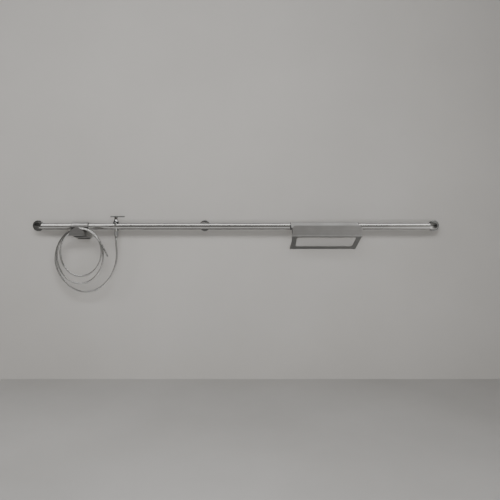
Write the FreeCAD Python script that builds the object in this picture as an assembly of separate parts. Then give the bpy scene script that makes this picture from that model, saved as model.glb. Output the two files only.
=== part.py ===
import FreeCAD, Part
import math
import os
from FreeCAD import Vector

# Wall rail for a bicycle, with a hooked-on bike holder, a water tap and a hose on its own holder.
# The wall is the plane Y = 0 and everything stands out from it along -Y. +X is right, +Z is up.
# The origin is the centre of the middle wall plate's back face. Millimetres.

# ---- rail ----
RAIL_R = 21.2
RAIL_WALL = 2.0
RAIL_OUT = 80.0  # axis of the rail from the wall
RAIL_LEFT = -1134.0  # axes of the two bent ends
RAIL_RIGHT = 1556.0
BEND_R = 57.0

# ---- wall plates and rosettes ----
PLATE_R = 33.0
PLATE_T = 5.0
PLATE_PCD = 52.0
PLATE_HOLES = 3
PLATE_HOLE_R = 2.75
SPIGOT_LENGTH = 16.0
ROSETTE_R = 37.0
ROSETTE_DEPTH = 9.5
ROSETTE_T = 1.5
ROSETTE_ROUND = 3.0
POST_R = 8.0
GRUB_R = 2.5
GRUB_DEPTH = 7.0

# ---- tap ----
TAP_X = -586.0
BODY_R = 13.0
NECK_R = 10.5
THREAD_R = 9.5
WATERWAY_R = 4.0
CARTRIDGE_R = 8.5
CARTRIDGE_T = 1.0
DISC_T = 3.0
DISC_PORT_SHARE = 0.3125  # radius of a port over the radius of its disc
FORK_T = 4.0
FEED_WINDOW = 8.0
HOUSING_BELOW_NECK = 2.0
SEAL_T = 2.0
SEAT_Z = -12.0
COLLAR_R = 17.5
COLLAR_BELOW = 6.8  # this and the next heights are from the rail's surface
THREAD_LENGTH = 16.0
NECK_ABOVE = 16.8
BONNET_R = 19.5
BONNET_MID_R = 17.0
BONNET_MID_ABOVE = 9.5
BONNET_TOP_R = 11.0
BONNET_ABOVE = 26.8
BONNET_BAND = 5.0
BONNET_HOLE_GAP = 1.0
SPINDLE_R = 4.0
HUB_R = 10.0
HUB_ABOVE = 48.3
BAR_R = 4.0
BAR_ABOVE = 43.8
BAR_LONG = 59.0
BAR_SHORT = 39.0
HANDLE_SCREW_R = 2.0
NUT_LENGTH = 34.0
NUT_END_T = 13.0
BARB_R = 6.5
BARB_FLANGE_T = 3.0
FEED_R = 5.0
FEED_WALL = 1.0
FEED_SEAL_R = 0.65

# ---- hose ----
HOSE_R = 5.5
FERRULE_R = 8.0
FERRULE_TIP_R = 6.4
FERRULE_LENGTH = 28.0
COIL_X = -809.0
COIL_HALF_WIDTH = 155.0
COIL_TOP_Z = -10.8
COIL_BOTTOM_Z = -373.5
INNER_X = -813.0
INNER_HALF_WIDTH = 141.5
INNER_BOTTOM_Z = -323.0
COIL_OUT = 131.0
COIL_THICK = 12.0

# ---- sheet metal and liners ----
SHEET_T = 3.0
FOLD_R = 4.5  # middle of the sheet
LINER_T = 2.5
LINER_FROM = 155.0  # angles round the rail, from straight out, over the top
LINER_WRAP = 220.0
HOOK_BACK = 158.0
PAD_T = 3.0

# ---- bike holder ----
BIKE_X = 801.0
BIKE_WIDTH = 445.0
SLOPE = 29.0
LIP_OUT = 230.0  # front face of the lip from the wall
LIP_TOP_Z = 14.0
LIP_BOTTOM_Z = -55.0
LIP_CORNER_R = 22.0
FLANGE_UP = 9.0
LEG_LOW_Z = -158.5  # underside of the leg's fold at the wall
LEG_FLANGE = 12.0  # foot, turned up behind the leg
WINDOW_SIDE = 33.0
WINDOW_FRONT = 22.0
WINDOW_BACK = 58.0
WINDOW_CORNER_R = 12.0
TROUGH_PAD_T = 6.0
TROUGH_PAD_LENGTH = 78.0
GLIDE_LENGTH = 60.0
GLIDE_RIM_R = 27.5
GLIDE_RIM_T = 3.0
BIKE_PAD_WIDTH = 60.0
BIKE_PAD_INSET = 16.0

# ---- hose holder ----
HOLDER_X = -823.0
HOLDER_WIDTH = 108.0
SADDLE_R = 38.0
SADDLE_Z = -55.5
SADDLE_T = 3.0
DISC_R = 52.0
BACK_R = 50.0
FRONT_OUT = 160.0
SHOULDER_Z = -5.0
NECK_WIDTH = 60.0
HOLDER_LEG_Z = -78.0
HOLDER_FLANGE = 10.0
HOLDER_LEG_FRONT = 70.0
HOLDER_PAD_WIDTH = 84.0
LINER_PROUD = 4.0

# ---- fits ----
RUNNING = 0.05  # radial clearance between pieces that move
SIDE_GAP = 0.3

STEP = 1.0  # small set-back between stacked pieces
PAST = 1.0  # how far a cut runs past the face that it opens
FAR = 500.0  # more than any piece reaches from the wall or stands high
NEAR = 0.01  # two lengths this close are the same
ARC_SHARE = 0.45  # of the shorter run beside a turn of the hose, taken up by the arc

BORE_R = RAIL_R - RAIL_WALL
COLLAR_Z = -RAIL_R - COLLAR_BELOW
BODY_BOTTOM_Z = COLLAR_Z - STEP
NECK_TOP_Z = RAIL_R + NECK_ABOVE
BONNET_TOP_Z = RAIL_R + BONNET_ABOVE
HUB_TOP_Z = RAIL_R + HUB_ABOVE
BAR_Z = RAIL_R + BAR_ABOVE
LINER_R = RAIL_R + LINER_T
HOOK_R = LINER_R + SHEET_T / 2
UP = Vector(0, 0, 1)


def at(x, out, z):
    return Vector(x, -out, z)


def rod(start, end, radius):
    run = end - start
    return Part.makeCylinder(radius, run.Length, start, run)


def ring(start, end, radius, bore):
    return rod(start, end, radius).cut(rod(start, end, bore))


def on_tap(z):
    return at(TAP_X, RAIL_OUT, z)


def tap_rod(low, high, radius):
    return rod(on_tap(low), on_tap(high), radius)


def tap_ring(low, high, radius, bore):
    return ring(on_tap(low), on_tap(high), radius, bore)


def rail_rod(x, half_length):
    """Solid of the rail's outside round one place on it."""
    return rod(at(x - half_length, RAIL_OUT, 0), at(x + half_length, RAIL_OUT, 0), RAIL_R)


def joined(shapes):
    """One solid from solids that share faces or volume."""
    whole = shapes[0].fuse(shapes[1:])
    return whole.removeSplitter()


def prism(points, push):
    """Straight-sided solid on a closed outline."""
    return Part.Face(Part.makePolygon(points + points[:1])).extrude(push)


def folded(start, heading, moves, thickness, x_from, x_to):
    """Sheet folded along a path in a plane across the rail: a move is a straight length or (radius, turn)."""
    out, z = start
    angle = math.radians(heading)
    sides = {1: [], -1: []}

    def edge_point(out, z, angle, side):
        half = side * thickness / 2
        return at(x_from, out - half * math.sin(angle), z + half * math.cos(angle))

    first = {side: edge_point(out, z, angle, side) for side in sides}
    for move in moves:
        begin = (out, z, angle)
        if isinstance(move, tuple):
            radius = math.copysign(move[0], move[1])
            turn = math.radians(move[1])
            centre = (out - radius * math.sin(angle), z + radius * math.cos(angle))
            stops = []
            for part in (0.5, 1.0):
                now = angle + part * turn
                stops.append((centre[0] + radius * math.sin(now), centre[1] - radius * math.cos(now), now))
            for side in sides:
                through = [edge_point(*stop, side) for stop in [begin] + stops]
                sides[side].append(Part.Arc(*through).toShape())
            out, z, angle = stops[-1]
        else:
            out += move * math.cos(angle)
            z += move * math.sin(angle)
            for side in sides:
                ends = (edge_point(*begin, side), edge_point(out, z, angle, side))
                sides[side].append(Part.LineSegment(*ends).toShape())
    last = {side: edge_point(out, z, angle, side) for side in sides}
    edges = sides[1] + [Part.LineSegment(last[1], last[-1]).toShape()]
    edges += sides[-1][::-1] + [Part.LineSegment(first[-1], first[1]).toShape()]
    return Part.Face(Part.Wire(edges)).extrude(Vector(x_to - x_from, 0, 0))


def round_rail(angle, radius):
    """Point (out, z) at an angle round the rail's axis, from straight out, over the top."""
    turn = math.radians(angle)
    return RAIL_OUT + radius * math.cos(turn), radius * math.sin(turn)


def liner(x_from, x_to, inner, outer):
    middle = (inner + outer) / 2
    start = round_rail(LINER_FROM, middle)
    return folded(start, LINER_FROM - 90, [(middle, -LINER_WRAP)], outer - inner, x_from, x_to)


def route(points):
    """Straight runs with the largest tangent arcs that fit, and the list of their radii."""
    edges = []
    radii = []
    start = points[0]
    for before, corner, after in zip(points, points[1:], points[2:]):
        come = (corner - before).normalize()
        go = (after - corner).normalize()
        half = come.getAngle(go) / 2
        reach = ARC_SHARE * min((corner - before).Length, (after - corner).Length)
        radius = reach / math.tan(half)
        first = corner - come * reach
        last = corner + go * reach
        inward = (go - come).normalize()
        middle = corner + inward * (radius / math.cos(half) - radius)
        edges.append(Part.LineSegment(start, first).toShape())
        edges.append(Part.Arc(first, middle, last).toShape())
        radii.append(radius)
        start = last
    edges.append(Part.LineSegment(start, points[-1]).toShape())
    return Part.Wire(edges), radii


def tube(wire, start, direction, radius):
    """Solid round bar along a path of lines and arcs."""
    face = Part.Face(Part.Wire(Part.makeCircle(radius, start, direction)))
    return wire.makePipe(face)


# ---- rail, elbows, plates ----


def elbow_path(x, side, plate_out, r=BEND_R):
    """From the wall plate out along the leg and round into the rail; side is +1 where the rail runs to +X."""
    leg_end = at(x, RAIL_OUT - r, 0)
    slant = r * math.sin(math.radians(45))
    middle = at(x + side * (r - slant), RAIL_OUT - r + slant, 0)
    finish = at(x + side * r, RAIL_OUT, 0)
    leg = Part.LineSegment(at(x, plate_out, 0), leg_end).toShape()
    return [leg, Part.Arc(leg_end, middle, finish).toShape()]


def elbow(x, side):
    wire = Part.Wire(elbow_path(x, side, PLATE_T))
    start = at(x, PLATE_T, 0)
    outside = tube(wire, start, Vector(0, -1, 0), RAIL_R)
    inside = tube(wire, start, Vector(0, -1, 0), BORE_R)
    return outside.cut(inside).cut(grub_screw(x))


def grub_out():
    return (ROSETTE_DEPTH + PLATE_T + SPIGOT_LENGTH) / 2


def grub_screw(x):
    return rod(at(x, grub_out(), -RAIL_R), at(x, grub_out(), -RAIL_R + GRUB_DEPTH), GRUB_R)


def rail_tube():
    low = at(RAIL_LEFT + BEND_R, RAIL_OUT, 0)
    high = at(RAIL_RIGHT - BEND_R, RAIL_OUT, 0)
    return ring(low, high, RAIL_R, BORE_R).cut(tap_rod(-RAIL_R - STEP, RAIL_R + STEP, BODY_R))


def wall_plate(x, spigot_r):
    plate = rod(at(x, 0, 0), at(x, PLATE_T, 0), PLATE_R)
    if spigot_r:
        plate = joined([plate, rod(at(x, PLATE_T, 0), at(x, PLATE_T + SPIGOT_LENGTH, 0), spigot_r)])
    for i in range(PLATE_HOLES):
        turn = math.radians(90 + 360 * i / PLATE_HOLES)
        hx = x + PLATE_PCD / 2 * math.cos(turn)
        hz = PLATE_PCD / 2 * math.sin(turn)
        plate = plate.cut(rod(at(hx, -PAST, hz), at(hx, PLATE_T + PAST, hz), PLATE_HOLE_R))
    return plate.cut(grub_screw(x)) if spigot_r else plate


def rosette(x, hole_r):
    """Shallow cup over a wall plate, with a rounded rim and a hole that the tube fills."""
    cup = rod(at(x, 0, 0), at(x, ROSETTE_DEPTH, 0), ROSETTE_R)
    flat = [e for e in cup.Edges if e.BoundBox.YLength < NEAR]
    rim = [e for e in flat if abs(e.BoundBox.YMin + ROSETTE_DEPTH) < NEAR]
    cup = cup.makeFillet(ROSETTE_ROUND, rim)
    inside = rod(at(x, 0, 0), at(x, ROSETTE_DEPTH - ROSETTE_T, 0), ROSETTE_R - ROSETTE_T)
    return cup.cut(inside).cut(rod(at(x, 0, 0), at(x, ROSETTE_DEPTH, 0), hole_r))


def middle_post():
    post = rod(at(0, PLATE_T, 0), at(0, RAIL_OUT, 0), POST_R)
    return post.cut(rail_rod(0, 2 * POST_R))


def feed_path():
    leg, bend = elbow_path(RAIL_LEFT, 1, 0)
    finish = at(TAP_X - CARTRIDGE_R, RAIL_OUT, 0)
    return Part.Wire([leg, bend, Part.LineSegment(at(RAIL_LEFT + BEND_R, RAIL_OUT, 0), finish).toShape()])


def feed_pipe(radius):
    return tube(feed_path(), at(RAIL_LEFT, 0, 0), Vector(0, -1, 0), radius)


# ---- tap ----

SEAL_GROOVE_X = TAP_X - (BODY_R + CARTRIDGE_R) / 2
DISC_LOW_Z = SEAT_Z + SEAL_T
TURN_LOW_Z = DISC_LOW_Z + DISC_T + RUNNING
FORK_Z = TURN_LOW_Z + DISC_T
WINDOW_TOP_Z = 14.0
HOUSING_TOP_Z = NECK_TOP_Z - HOUSING_BELOW_NECK
SEAL_R = 0.6
SEAL_ZS = (22.0, 29.0)


def feed_seal():
    seal = Part.makeTorus(FEED_R + FEED_SEAL_R, FEED_SEAL_R, Vector(0, 0, 0), Vector(1, 0, 0))
    return seal.translated(at(SEAL_GROOVE_X, RAIL_OUT, 0))


def feed_port():
    """Bore for the feed pipe, with the groove of its seal."""
    bore = rod(at(TAP_X - BODY_R - PAST, RAIL_OUT, 0), at(TAP_X, RAIL_OUT, 0), FEED_R)
    low = at(SEAL_GROOVE_X - FEED_SEAL_R, RAIL_OUT, 0)
    high = at(SEAL_GROOVE_X + FEED_SEAL_R, RAIL_OUT, 0)
    return joined([bore, rod(low, high, FEED_R + 2 * FEED_SEAL_R)])


def tap_body():
    body = joined([
        tap_rod(BODY_BOTTOM_Z - THREAD_LENGTH, BODY_BOTTOM_Z, THREAD_R),
        tap_rod(BODY_BOTTOM_Z, RAIL_R + STEP, BODY_R),
        tap_rod(RAIL_R + STEP, NECK_TOP_Z, NECK_R),
    ])
    body = body.cut(tap_rod(BODY_BOTTOM_Z - THREAD_LENGTH, SEAT_Z, WATERWAY_R))
    body = body.cut(tap_rod(SEAT_Z, NECK_TOP_Z, CARTRIDGE_R))
    return body.cut(feed_port())


def tap_collar():
    collar = tap_ring(COLLAR_Z, 0, COLLAR_R, BODY_R)
    return collar.cut(rail_rod(TAP_X, 2 * COLLAR_R))


def tap_bonnet():
    foot = Vector(BONNET_R, 0, RAIL_R - STEP)
    waist = Vector(BONNET_MID_R, 0, RAIL_R + BONNET_MID_ABOVE)
    band = Vector(BONNET_TOP_R, 0, BONNET_TOP_Z - BONNET_BAND)
    flare = Part.Arc(foot, waist, band)
    corners = [
        band, Vector(BONNET_TOP_R, 0, BONNET_TOP_Z), Vector(0, 0, BONNET_TOP_Z),
        Vector(0, 0, 0), Vector(BONNET_R, 0, 0), foot,
    ]
    lines = [Part.LineSegment(a, b).toShape() for a, b in zip(corners, corners[1:])]
    face = Part.Face(Part.Wire([flare.toShape()] + lines))
    bonnet = face.revolve(Vector(0, 0, 0), UP, 360).translated(on_tap(0))
    bonnet = bonnet.cut(rail_rod(TAP_X, 2 * BONNET_R))
    bonnet = bonnet.cut(tap_rod(0, RAIL_R + STEP, BODY_R)).cut(tap_rod(0, NECK_TOP_Z, NECK_R))
    return bonnet.cut(tap_rod(NECK_TOP_Z, BONNET_TOP_Z, SPINDLE_R + BONNET_HOLE_GAP))


def cartridge_housing():
    inside = CARTRIDGE_R - CARTRIDGE_T
    housing = tap_rod(DISC_LOW_Z, HOUSING_TOP_Z, CARTRIDGE_R).cut(tap_rod(DISC_LOW_Z, WINDOW_TOP_Z, inside))
    housing = housing.cut(tap_rod(WINDOW_TOP_Z, HOUSING_TOP_Z, SPINDLE_R + RUNNING))
    corner = at(TAP_X - 2 * CARTRIDGE_R, RAIL_OUT + FEED_WINDOW / 2, -FEED_WINDOW / 2)
    window = Part.makeBox(4 * CARTRIDGE_R, FEED_WINDOW, FEED_WINDOW, corner)
    return housing.cut(window)


def disc(low, radius):
    """Ceramic disc with two facing ports."""
    plate = tap_rod(low, low + DISC_T, radius)
    for side in (-1, 1):
        place = on_tap(low) + Vector(side * radius / 2, 0, 0)
        plate = plate.cut(rod(place, place + UP * DISC_T, radius * DISC_PORT_SHARE))
    return plate


def spindle():
    fork = tap_rod(FORK_Z, FORK_Z + FORK_T, CARTRIDGE_R - CARTRIDGE_T - RUNNING)
    stem = tap_rod(FORK_Z + FORK_T, BAR_Z - BAR_R - STEP, SPINDLE_R)
    whole = joined([fork, stem])
    for z in SEAL_ZS:
        low, high = z - 2 * SEAL_R, z + 2 * SEAL_R
        whole = whole.cut(tap_ring(low, high, SPINDLE_R + PAST, SPINDLE_R - 2 * SEAL_R))
    return whole


def spindle_seals():
    ring_r = SPINDLE_R - SEAL_R
    return Part.makeCompound([Part.makeTorus(ring_r, SEAL_R, on_tap(z), UP) for z in SEAL_ZS])


def handle_bar():
    low = at(TAP_X - BAR_SHORT, RAIL_OUT, BAR_Z)
    high = at(TAP_X + BAR_LONG, RAIL_OUT, BAR_Z)
    return rod(low, high, BAR_R)


def handle_screw():
    z = (BONNET_TOP_Z + BAR_Z - BAR_R) / 2
    return rod(at(TAP_X, RAIL_OUT - HUB_R, z), at(TAP_X, RAIL_OUT, z), HANDLE_SCREW_R)


def handle_hub():
    hub = tap_rod(BONNET_TOP_Z + STEP, HUB_TOP_Z, HUB_R)
    hub = hub.cut(tap_rod(BONNET_TOP_Z + STEP, BAR_Z - BAR_R - STEP, SPINDLE_R))
    return hub.cut(handle_bar()).cut(handle_screw())


NUT_BOTTOM_Z = BODY_BOTTOM_Z - NUT_LENGTH
NUT_FLOOR_Z = NUT_BOTTOM_Z + NUT_END_T
THREAD_END_Z = BODY_BOTTOM_Z - THREAD_LENGTH
HOSE_TOP_Z = NUT_BOTTOM_Z - STEP


def outlet_nut():
    nut = tap_rod(NUT_BOTTOM_Z, BODY_BOTTOM_Z, BODY_R)
    nut = nut.cut(tap_rod(NUT_FLOOR_Z, BODY_BOTTOM_Z, THREAD_R))
    return nut.cut(tap_rod(NUT_BOTTOM_Z, NUT_FLOOR_Z, BARB_R))


def hose_barb():
    flange = tap_rod(NUT_FLOOR_Z, NUT_FLOOR_Z + BARB_FLANGE_T, THREAD_R)
    stem = tap_rod(HOSE_TOP_Z, NUT_FLOOR_Z, BARB_R)
    return joined([flange, stem]).cut(tap_rod(HOSE_TOP_Z, NUT_FLOOR_Z + BARB_FLANGE_T, WATERWAY_R))


def hose_ferrule():
    low, high = HOSE_TOP_Z - FERRULE_LENGTH, HOSE_TOP_Z
    straight = tap_rod(high - FERRULE_LENGTH / 2, high, FERRULE_R)
    taper = Part.makeCone(FERRULE_TIP_R, FERRULE_R, FERRULE_LENGTH / 2, on_tap(low), UP)
    return joined([straight, taper]).cut(tap_rod(low, high, HOSE_R))


# ---- hose ----

HOSE_RUN = [
    (TAP_X, 80, HOSE_TOP_Z), (TAP_X, 80, -118), (-578, 83, -190), (-590, 87, -272), (-630, 92, -356),
    (-702, 97, -420), (-790, 102, -438), (-874, 106, -408), (-936, 110, -344), (-974, 114, -268),
    (-979, 117, -186), (-955, 119, -104), (-905, 119.5, -41), (-838, 119.5, -9), (-782, 121, -12),
]
HOSE_TAIL = [
    (-800, 141.5, -10.5), (-752, 144, -24), (-706, 146, -58), (-668, 147, -108), (-640, 148, -158),
    (-624, 148, -195),
]


def hose(name, points):
    places = [at(*point) for point in points]
    wire, radii = route(places)
    solid = tube(wire, places[0], places[1] - places[0], HOSE_R)
    share = solid.Volume / (math.pi * HOSE_R ** 2 * wire.Length)
    print(name, "length", round(wire.Length), "volume share", round(share, 4))
    print("radii", [round(radius) for radius in radii])
    return solid


def oval(x, half_width, top, bottom):
    """Upright ellipse on the coil's back plane."""
    centre = at(x, COIL_OUT - COIL_THICK / 2, (top + bottom) / 2)
    half_height = (top - bottom) / 2
    curve = Part.Ellipse(centre + UP * half_height, centre + Vector(half_width, 0, 0), centre)
    if half_width > half_height:
        curve = Part.Ellipse(centre + Vector(half_width, 0, 0), centre + UP * half_height, centre)
    return Part.Face(Part.Wire(curve.toShape())).extrude(Vector(0, -COIL_THICK, 0))


def hose_coil():
    """Outer shape of the two inner turns: one ring, thin at the top and fanned out at the bottom."""
    outside = oval(COIL_X, COIL_HALF_WIDTH + HOSE_R, COIL_TOP_Z + HOSE_R, COIL_BOTTOM_Z - HOSE_R)
    inside = oval(INNER_X, INNER_HALF_WIDTH - HOSE_R, COIL_TOP_Z - HOSE_R, INNER_BOTTOM_Z + HOSE_R)
    return outside.cut(inside)


# ---- hose holder ----


def holder_slope():
    return math.atan2(SADDLE_Z - HOLDER_LEG_Z, FRONT_OUT)


def hose_hook():
    """Hook over the rail whose front runs straight down as the saddle's back plate."""
    low = SADDLE_Z - (FRONT_OUT - RAIL_OUT - HOOK_R) * math.tan(holder_slope())
    x_from, x_to = HOLDER_X - HOLDER_WIDTH / 2, HOLDER_X + HOLDER_WIDTH / 2
    moves = [(HOOK_R, -HOOK_BACK), -low]
    sheet = folded(round_rail(HOOK_BACK, HOOK_R), HOOK_BACK - 90, moves, SHEET_T, x_from, x_to)
    top = Part.makeBox(HOLDER_WIDTH, FAR, FAR, at(x_from, FAR, SHOULDER_Z))
    neck_corner = at(HOLDER_X - NECK_WIDTH / 2, FRONT_OUT, low)
    neck = Part.makeBox(NECK_WIDTH, FRONT_OUT, SHOULDER_Z - low, neck_corner)
    round_back = rod(at(HOLDER_X, 0, SADDLE_Z), at(HOLDER_X, FRONT_OUT, SADDLE_Z), BACK_R)
    return sheet.common(joined([top, neck, round_back])).cut(hose_front())


def hose_saddle():
    back = RAIL_OUT + HOOK_R + SHEET_T / 2
    front = FRONT_OUT - SHEET_T
    shell = ring(at(HOLDER_X, back, SADDLE_Z), at(HOLDER_X, front, SADDLE_Z), SADDLE_R, SADDLE_R - SADDLE_T)
    upper = Part.makeBox(2 * DISC_R, FRONT_OUT, DISC_R, at(HOLDER_X - DISC_R, FRONT_OUT, SADDLE_Z))
    return shell.common(upper)


def hose_front():
    """Half-round front plate, folded back along its straight edge into a leg that rests on the wall."""
    slope = holder_slope()
    turn = 90 - math.degrees(slope)
    leg = FRONT_OUT - SHEET_T - PAD_T - 2 * FOLD_R * (1 - math.sin(slope))
    moves = [DISC_R - FOLD_R, (FOLD_R, -turn), leg / math.cos(slope), (FOLD_R, turn), HOLDER_FLANGE]
    start = (FRONT_OUT - SHEET_T / 2, SADDLE_Z + DISC_R - STEP)
    half_front, half_back = HOLDER_LEG_FRONT / 2, HOLDER_WIDTH / 2
    sheet = folded(start, -90, moves, SHEET_T, HOLDER_X - half_back, HOLDER_X + half_back)
    disc_rod = rod(at(HOLDER_X, FRONT_OUT - SHEET_T, SADDLE_Z), at(HOLDER_X, FRONT_OUT, SADDLE_Z), DISC_R)
    top = Part.makeBox(2 * FAR, FAR, DISC_R, at(HOLDER_X - FAR, FRONT_OUT + PAST, SADDLE_Z))
    front = FRONT_OUT + PAST
    plan = [
        at(HOLDER_X - half_front, front, -FAR), at(HOLDER_X + half_front, front, -FAR),
        at(HOLDER_X + half_back, 0, -FAR), at(HOLDER_X - half_back, 0, -FAR),
    ]
    low = prism(plan, UP * (FAR + SADDLE_Z))
    return joined([disc_rod.common(top), sheet.common(low)])


def hose_liner():
    half = HOLDER_WIDTH / 2 + LINER_PROUD
    return liner(HOLDER_X - half, HOLDER_X + half, RAIL_R, LINER_R)


def wall_pad(x, width, z_low, z_high):
    return Part.makeBox(width, PAD_T, z_high - z_low, at(x - width / 2, PAD_T, z_low))


# ---- bike holder ----

SLOPE_RAD = math.radians(SLOPE)
LIP_MID = LIP_OUT - SHEET_T / 2
BIKE_LOW_X = BIKE_X - BIKE_WIDTH / 2
BIKE_HIGH_X = BIKE_X + BIKE_WIDTH / 2
BIKE_HOOK_R = LINER_R + RUNNING + SHEET_T / 2


def slope_length():
    """Straight part of the slope, so that its turned-up end lies on the back of the lip."""
    start = round_rail(90 - SLOPE, BIKE_HOOK_R)[0]
    bend = FOLD_R * (1 + math.sin(SLOPE_RAD))
    return (LIP_MID - SHEET_T - start - bend) / math.cos(SLOPE_RAD)


def bike_hook():
    wrap = HOOK_BACK - (90 - SLOPE)
    moves = [(BIKE_HOOK_R, -wrap), slope_length(), (FOLD_R, 90 + SLOPE), FLANGE_UP]
    start = round_rail(HOOK_BACK, BIKE_HOOK_R)
    return folded(start, HOOK_BACK - 90, moves, SHEET_T, BIKE_LOW_X, BIKE_HIGH_X)


def leg_reach():
    """Horizontal length of the leg between its two folds."""
    return LIP_MID - PAD_T - SHEET_T / 2 - 2 * FOLD_R


def bike_frame():
    """Lip in front, then an open leg back to the wall and a foot turned up there, from one sheet."""
    slope = math.atan2(LIP_BOTTOM_Z - SHEET_T / 2 - LEG_LOW_Z, leg_reach())
    tilt = math.degrees(slope)
    lip = LIP_TOP_Z - LIP_BOTTOM_Z - FOLD_R
    moves = [lip, (FOLD_R, tilt - 90), leg_reach() / math.cos(slope), (FOLD_R, -90 - tilt), LEG_FLANGE]
    sheet = folded((LIP_MID, LIP_TOP_Z), -90, moves, SHEET_T, BIKE_LOW_X, BIKE_HIGH_X)
    sheet = round_top_corners(sheet, LIP_TOP_Z, LIP_CORNER_R)
    width = BIKE_WIDTH - 2 * WINDOW_SIDE
    length = LIP_OUT - WINDOW_FRONT - WINDOW_BACK
    window = Part.makeBox(width, length, FAR, at(BIKE_X - width / 2, LIP_OUT - WINDOW_FRONT, -FAR))
    upright = [e for e in window.Edges if e.BoundBox.ZLength > FAR / 2]
    return sheet.cut(window.makeFillet(WINDOW_CORNER_R, upright))


def round_top_corners(sheet, top, radius):
    """Rounds the two upper corners of the bike holder's lip, seen from the front."""
    for x, turn in ((BIKE_LOW_X, 1), (BIKE_HIGH_X, -1)):
        corner = Part.makeBox(radius, 2 * FAR, radius)
        corner.translate(at(min(x, x + turn * radius), FAR, top - radius))
        middle = (x + turn * radius, top - radius)
        keep = rod(at(middle[0], -FAR, middle[1]), at(middle[0], FAR, middle[1]), radius)
        sheet = sheet.cut(corner.cut(keep))
    return sheet


def trough_pad():
    """Rubber in the trough: on the slope, round the fold and up the back of the lip."""
    along = (math.cos(SLOPE_RAD), -math.sin(SLOPE_RAD))
    up = (math.sin(SLOPE_RAD), math.cos(SLOPE_RAD))
    start = round_rail(90 - SLOPE, BIKE_HOOK_R)
    centre = tuple(start[i] + slope_length() * along[i] + FOLD_R * up[i] for i in (0, 1))
    inner = FOLD_R - SHEET_T / 2
    middle = math.radians(-(90 + SLOPE) / 2)
    low = tuple(centre[i] - inner * up[i] for i in (0, 1))
    face = centre[0] + inner
    top = LIP_TOP_Z - LIP_CORNER_R
    back = tuple(low[i] - TROUGH_PAD_LENGTH * along[i] for i in (0, 1))
    back_up = tuple(back[i] + TROUGH_PAD_T * up[i] for i in (0, 1))
    inside = face - TROUGH_PAD_T
    corner_z = back_up[1] - (inside - back_up[0]) * math.tan(SLOPE_RAD)
    outline = [
        (face, centre[1]), (face, centre[1] + FLANGE_UP), (face + SHEET_T, centre[1] + FLANGE_UP),
        (face + SHEET_T, top), (inside, top), (inside, corner_z), back_up, back, low,
    ]
    places = [at(BIKE_LOW_X, *point) for point in outline]
    fold = at(BIKE_LOW_X, centre[0] + inner * math.cos(middle), centre[1] + inner * math.sin(middle))
    edges = [Part.LineSegment(a, b).toShape() for a, b in zip(places, places[1:])]
    edges.append(Part.Arc(places[-1], fold, places[0]).toShape())
    return Part.Face(Part.Wire(edges)).extrude(Vector(BIKE_WIDTH, 0, 0))


def rail_glides():
    """Two clips on the rail; their rims keep the hook from sliding off them."""
    solids = []
    inner = RAIL_R + RUNNING
    for x, side in ((BIKE_LOW_X, 1), (BIKE_HIGH_X, -1)):
        ends = sorted((x - side * SIDE_GAP, x + side * GLIDE_LENGTH))
        rims = sorted((x - side * SIDE_GAP, x - side * (SIDE_GAP + GLIDE_RIM_T)))
        solids.append(joined([liner(*ends, inner, LINER_R), liner(*rims, inner, GLIDE_RIM_R)]))
    return Part.makeCompound(solids)


def bike_wall_pads(frame):
    low = frame.BoundBox.ZMin + FOLD_R + SHEET_T / 2
    pads = []
    for side in (-1, 1):
        x = BIKE_X + side * (BIKE_WIDTH / 2 - BIKE_PAD_INSET - BIKE_PAD_WIDTH / 2)
        pads.append(wall_pad(x, BIKE_PAD_WIDTH, low, low + LEG_FLANGE))
    return Part.makeCompound(pads)


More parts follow.
